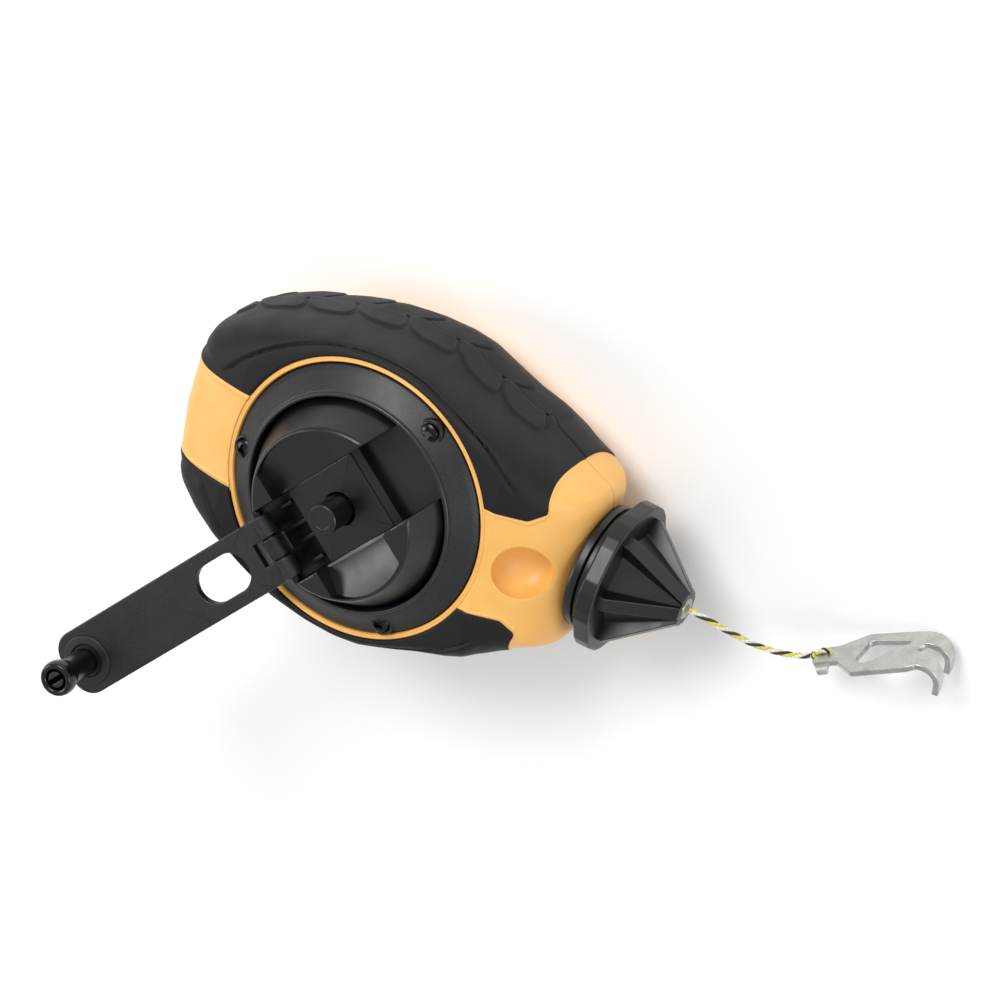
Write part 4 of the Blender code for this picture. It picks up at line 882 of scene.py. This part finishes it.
def bezel_screws():
    """Domed screws with a four-lobed recess: height = dome - depth where radius < lobe(angle)."""
    angle = np.linspace(0, TAU, 96, endpoint=False)
    radius = np.concatenate((np.linspace(0, 2.0, 26), np.linspace(2.05, 2.8, 12)))[:, None]
    dome = 1.35 * np.sqrt(np.maximum(1 - (radius / 3.05) ** 2, 0))
    lobe = 1.32 + 0.34 * np.cos(4 * angle)
    height = dome - 1.1 * smoothstep(lobe - radius, -0.10, 0.16) + 0 * angle
    top = np.stack((radius * np.cos(angle), radius * np.sin(angle), height), axis=-1)
    rim = np.array([(2.8, -0.4), (1.3, -0.4), (0.0, -0.4)])
    wall = np.stack((rim[:, :1] * np.cos(angle), rim[:, :1] * np.sin(angle), rim[:, 1:] + 0 * angle), axis=-1)
    made = skin(np.concatenate((top, wall)))
    for i, turn in enumerate(SCREW_TURNS):
        place = at_screw(turn, SCREW_Z) @ Matrix.Rotation(turn + 0.5, 4, "Z")
        name = "bezel_screw_%d" % (i + 1)
        piece("recessed_" + name, [moved(made, place)], "housing", [SCREW_OXIDE], [name])


# ---- crank ----
def arm_matrix(offset=0.0, height=0.0):
    """Out along the open arm, from the disc's axis."""
    return Matrix.Rotation(ARM_ANGLE, 4, "Z") @ Matrix.Translation((offset, 0.0, height))


def circle_part(radius, start, end, steps=40):
    """Points on a circle round the origin, from one angle to another in degrees."""
    angle = np.radians(np.linspace(start, end, steps))
    return np.column_stack((radius * np.cos(angle), radius * np.sin(angle)))


def dome_height(radius):
    """Height of the dome over each radius: flat, rounded at the rim, then down its side."""
    return np.interp(radius, (0.0, 24.75, 25.0, 25.4, 25.75, 26.05, 30.6, DISC_R + 0.01),
                     (DOME_Z, DOME_Z, DOME_Z - 0.08, DOME_Z - 0.38, DOME_Z - 0.85, DOME_Z - 1.5,
                      THICK + 3.1, THICK + 1.8))


def dome_half(sign):
    """The dome on one side of the channel. Rows run across it at each place along the arm, and columns follow
    circles round the axis: y = sqrt(max(radius^2 - x^2, channel^2)). The scoop's floor is
    z = low + rise * share^1.5 out from the channel."""
    ends = math.sqrt(DISC_R ** 2 - CHANNEL ** 2)
    near, far = SCOOP_ENDS
    x = np.concatenate((np.linspace(-ends, near - 0.05, 46), np.linspace(near + 0.05, far - 0.05, 60),
                        np.linspace(far + 0.05, ends, 40)))[:, None]
    inner = CHANNEL + np.linspace(0, 1, 22) * (np.sqrt(SCOOP_R ** 2 - np.minimum(x * x, 440.0)) - CHANNEL)
    radii = np.array([SCOOP_R + 0.06, 24.75, 25.0, 25.2, 25.4, 25.6, 25.75, 25.9, 26.05, 26.6, 27.6, 28.6,
                      29.6, 30.3, 30.6, CHANNEL_END, DISC_R])
    outer = np.sqrt(np.maximum(radii ** 2 - x * x, CHANNEL ** 2))
    y = np.concatenate((np.minimum(inner, outer[:, :1]), outer), axis=1)
    radius = np.hypot(x, y)
    z = dome_height(radius)
    share = np.clip((y - CHANNEL) / (SCOOP_R - CHANNEL), 0, 1)
    floor = BLOCK_Z + 0.35 + (DOME_Z - 0.5 - BLOCK_Z - 0.35) * share ** 1.5
    scooped = (x > near) & (x < far) & (radius < SCOOP_R + 0.01)
    edge = 0.25 * smoothstep(y, CHANNEL + 0.4, CHANNEL)
    z = np.where(scooped, np.minimum(z, floor), z) - edge
    low = np.full_like(x, 50.0)
    y = np.concatenate((0 * x + CHANNEL, y, y[:, -1:]), axis=1)
    z = np.concatenate((low, z, low), axis=1)
    return skin(np.stack((x + 0 * y, y * sign, z), axis=-1))


def disc():
    """Crank disc: a dome on each side of the arm's channel, the stepped floor between, the knuckle."""
    turn = arm_matrix()
    half = CHANNEL + 0.02
    skins = [dome_half(sign) for sign in (1.0, -1.0)]
    ends = math.degrees(math.asin(half / CHANNEL_END))
    floor = np.vstack(([(-13.0, -half), (-13.0, half)], circle_part(CHANNEL_END, 180 - ends, 180 + ends)))
    skins.append(slab(floor, DISC_FOOT, THICK + 3.0, 0.2))
    ends = math.degrees(math.asin(half / DISC_R))
    trough = np.vstack(([(12.0, half), (12.0, -half)], circle_part(DISC_R, -ends, ends)))
    skins.append(slab(trough, DISC_FOOT, THICK + 2.0, 0.2))
    hole = circle_part(4.9, 0, 360, 73)[:-1]
    block = rounded(rectangle(-13.3, 12.3, -half, half), 0.3)
    skins.append(holed_slab(block, hole, (0.0, 0.0), 51.0, BLOCK_Z, 0.35))
    skins.append(block_step(half))
    for y in (-2.9, 1.7):
        skins.append(slab(rounded(rectangle(12.2, 23.0, y, y + 1.2), 0.3), 52.0, THICK + 4.4, 0.25))
    skins.append(slab(rounded(rectangle(20.5, 27.8, -2.9, 2.9), 0.6), DISC_FOOT, HINGE_Z - 0.5, 0.3))
    for y in (-9.4, 8.2):
        skins.append(slab(rounded(rectangle(15.0, 19.8, y, y + 1.2), 0.4), 51.0, THICK + 6.0, 0.3))
    side = arm_matrix(HINGE_D, HINGE_Z) @ Matrix.Rotation(math.pi / 2, 4, "X")
    base = turned(rectangle(0.0, DISC_R, 46.5, 57.2), 160, closed=False)
    knuckle = turned_solid(rectangle(0.0, 3.1, -3.1, 3.1), 0.35, 64)
    made = [base] + [moved(part, turn) for part in skins] + [moved(knuckle, side)]
    piece("crank_disc_moulding", made, "crank", [SATIN_ABS], ["crank_disc"], crease=30.0)
    pin = turned_solid(rectangle(0.0, 1.5, -11.5, 11.5), 0.4, 48)
    piece("steel_hinge_pin", [moved(pin, side)], "crank", [SCREW_OXIDE], ["hinge_pin"])


def block_step(half):
    """The step behind the block: its back wall stands up and then leans in to the block's top."""
    sections = [np.column_stack((rectangle(left, -13.1, -half, half), np.full(4, height)))
                for left, height in ((-15.0, 52.0), (-15.0, THICK + 5.6), (-13.5, BLOCK_Z - 0.5))]
    sections = np.array(sections)
    return capped(sections, sections.mean(1))


def lifted_matrix(out=0.0):
    """At the hinge, along the open arm, which rises a little to its knob."""
    return (arm_matrix(HINGE_D, HINGE_Z) @ Matrix.Rotation(-ARM_LIFT, 4, "Y")
            @ Matrix.Translation((out, 0.0, 0.0)))


def arm():
    """Flat crank arm: a plate whose slot clears the button, two hinge ears, a boss and a split post."""
    high = ARM_TOP
    low = high - ARM_THICK
    plan = [(7.2, -10.0), (78.7, -10.0)]
    plan += [tuple(p) for p in circle_part(6.5, -90, -10, 10) + np.array((78.7, -3.5))]
    plan += [(x, -y) for x, y in reversed(plan)]
    slot = np.vstack((circle_part(6.0, -90, 90, 24) + (25.0, 0), circle_part(6.0, 90, 270, 24) + (18.0, 0)))
    skins = [holed_slab(plan, slot, (21.5, 0.0), low, high, 0.45, 300)]
    barrel = turned_solid(rectangle(0.0, 2.9, 3.6, 9.9), 0.4, 64)
    prong = circle_part(2.45, 17, 163, 24)
    at_knob = Matrix.Translation((KNOB_D, 0, 0))
    for sign in (1.0, -1.0):
        ear = np.array(rectangle(-0.2, 7.9, 3.5, 10.0)) * (1.0, sign)
        skins.append(slab(rounded(ear[::int(sign)], 0.5), low, high, 0.45))
        skins.append(moved(barrel, Matrix.Rotation(math.pi / 2 * sign, 4, "X")))
        skins.append(moved(slab((prong * (1.0, sign))[::int(sign)], high, high + 18.1, 0.3), at_knob))
    boss = [(0.0, high - 1.0), (8.0, high - 1.0), (7.6, high + 0.55), (5.2, high + 0.75), (4.9, high + 0.15),
            (0.0, high + 0.15)]
    skins.append(moved(turned_solid(boss, 0.3, 96), at_knob))
    mark = rounded([(2.2, high - 0.4), (2.2, high + 0.05), (2.55, high + 0.05), (2.55, high - 0.4)], 0.05,
                   steps=3)
    for x, y in ((9.8, 6.4), (10.0, -6.6), (36.0, 5.0), (52.0, -5.6)):
        skins.append(moved(turned(mark, 60), Matrix.Translation((x, y, 0))))
    made = [moved(part, lifted_matrix()) for part in skins]
    piece("crank_arm_moulding", made, "arm", [GRAINED_ABS], ["crank_arm"], crease=30.0)


def knob():
    """Turned knob sleeve: a plain tube that flares to a rounded collar, open at its end."""
    low, high = ARM_TOP + 1.2, ARM_TOP + 18.5
    profile = rounded([(4.0, low), (4.15, low + 0.4), (4.05, low + 8.5), (4.05, high - 6.2),
                       (4.7, high - 5.0), (5.3, high - 3.6), (5.35, high - 1.6), (4.9, high - 0.3),
                       (4.2, high), (3.4, high - 0.25), (3.0, high - 1.1), (3.0, low)], 0.7, steps=6)
    piece("turned_knob", [moved(turned(profile, 96), lifted_matrix(KNOB_D))], "knob",
          [KNOB_ACETAL], ["knob_sleeve"])


def button():
    """Clutch button: a plain post with a shallow ring in its slightly hollow top."""
    top = BUTTON_TOP
    profile = [(0.0, top - 0.12), (2.6, top - 0.12), (2.75, top), (4.1, top), (4.5, top - 0.4),
               (4.5, BUTTON_LOW), (0.0, BUTTON_LOW)]
    piece("turned_button", [turned_solid(profile, 0.14, 96)], "button", [SATIN_ABS],
          ["clutch_button"])


# ---- nozzle ----
def along_x():
    """The frame whose +Z runs along the nozzle."""
    return Matrix.Translation((0, 0, MID)) @ Matrix.Rotation(math.pi / 2, 4, "Y")


def ribbed_cone(foot):
    """Six flat panels between six square ribs, carried along the axis while the ribs' and the panels' radii
    fall to the tip, and closed by a shallow mouth."""
    height = foot + (TIP_X - foot) * np.linspace(0, 1, 60)
    rib_r = np.interp(height, (foot, foot + 2.4, TIP_X - 1.4, TIP_X - 0.3, TIP_X),
                      (18.9, 18.7, 6.0, 5.3, 4.9))
    wall_r = np.interp(height, (foot, TIP_X - 1.2, TIP_X), (14.6, 5.3, 4.9))
    half = 2.0
    rows = []
    for rib, wall in zip(rib_r, wall_r):
        base = min(wall, rib - 0.02)
        inner = max(math.sqrt(max(base * base - half * half, 0.1)), 0.5) - 0.4
        corners = []
        for side in range(6):
            c, s = math.cos(math.radians(60 * side)), math.sin(math.radians(60 * side))
            corners.append(np.array(rectangle(inner, rib, -half, half)) @ np.array([(c, s), (-s, c)]))
        rows.append(rounded(np.vstack(corners), 0.32))
    mouth = rows[-1] / np.linalg.norm(rows[-1], axis=1, keepdims=True) * 3.2
    rows = [0 * rows[0]] + rows + [mouth, mouth, 0 * mouth]
    height = [foot, *height, TIP_X, TIP_X - 2.0, TIP_X - 2.0]
    return skin(np.array([np.column_stack((row, np.full(len(row), h))) for row, h in zip(rows, height)]))


def nozzle():
    """Hexagonal flange, the ribbed cone, the plug that goes into the collar, and the eyelet in the tip."""
    turn = along_x()
    face = NOZZLE_X + 5.0
    flange = []
    for side in range(6):
        for degrees, radius in ((-17.0, 22.0), (-7.0, 22.3), (7.0, 22.3), (17.0, 22.0)):
            a = math.radians(60 * side + degrees)
            flange.append((radius * math.cos(a), radius * math.sin(a)))
    skins = [slab(rounded(flange, 0.6, steps=4), NOZZLE_X, face, 0.7), ribbed_cone(face - 0.8)]
    plug = [(0.0, 56.3), (6.6, 56.3), (7.3, 57.2), (7.3, NOZZLE_X + 1), (0.0, NOZZLE_X + 1)]
    skins.append(turned_solid(plug, 0.4, 96))
    for ring in (60.0, 62.5):
        bead = rounded([(7.0, ring), (7.55, ring + 0.4), (7.55, ring + 0.9), (7.0, ring + 1.3)], 0.2)
        skins.append(turned(bead, 96))
    piece("ribbed_nozzle", [moved(made, turn) for made in skins], "nozzle", [SATIN_ABS],
          ["nozzle_cone", "nozzle_felt"], crease=30.0)
    eyelet = rounded([(1.35, TIP_X - 1.9), (1.35, TIP_X + 0.1), (1.7, TIP_X + 0.55), (2.6, TIP_X + 0.55),
                      (3.15, TIP_X + 0.1), (3.15, TIP_X - 1.9)], 0.3)
    piece("rolled_eyelet", [moved(turned(eyelet, 72), turn)], "nozzle", [SPRING_STEEL],
          ["nozzle_eyelet"])


def collar():
    """Black collar on the nose: two steps outside and a deep bore for the nozzle's plug."""
    profile = [(0.0, 58.0), (7.8, 58.0), (7.8, 68.8), (8.2, 69.1), (16.9, 69.1), (17.3, 68.6), (17.3, 67.2),
               (18.4, 66.9), (18.5, 65.2), (18.3, 64.3), (9.0, 64.2), (9.0, 57.4), (0.0, 57.4)]
    piece("stepped_collar", [moved(turned_solid(profile, 0.25, 160, bend=4), along_x())], "housing",
          [SATIN_ABS], ["neck_collar"])


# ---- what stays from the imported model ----
def keep_inner_parts():
    """Inner pieces keep their own shapes and take the finish of the real ones."""
    planets = ["planet_gear_%d" % (i + 1) for i in range(3)]
    planet_pins = ["planet_pin_%d" % (i + 1) for i in range(3)]
    screws = ["housing_screw_%d" % (i + 1) for i in range(4)]
    finishes = ((NYLON, ["gear_plate", "ring_gear", "sun_gear", "spool"] + planets),
                (SPRING_STEEL, ["button_spring", "spool_axle", "axle_bush"] + planet_pins),
                (SCREW_OXIDE, screws), (WOUND_YARN, ["line_winding", "line_run", "line_lead"]))
    for material, names in finishes:
        for name in names:
            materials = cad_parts[name].data.materials
            materials.clear()
            materials.append(material)


add_camera()
LINE, LINE_PATH, LINE_LENGTH = line_parts()
HOOK = hook()
LOOP = line_loop()
studio()
housing_front()
housing_back()
for WORD, MIRROR in (("top", False), ("bottom", True)):
    for BACK in (False, True):
        grip(WORD, MIRROR, BACK)
bezel()
bezel_screws()
disc()
arm()
knob()
button()
nozzle()
collar()
keep_inner_parts()
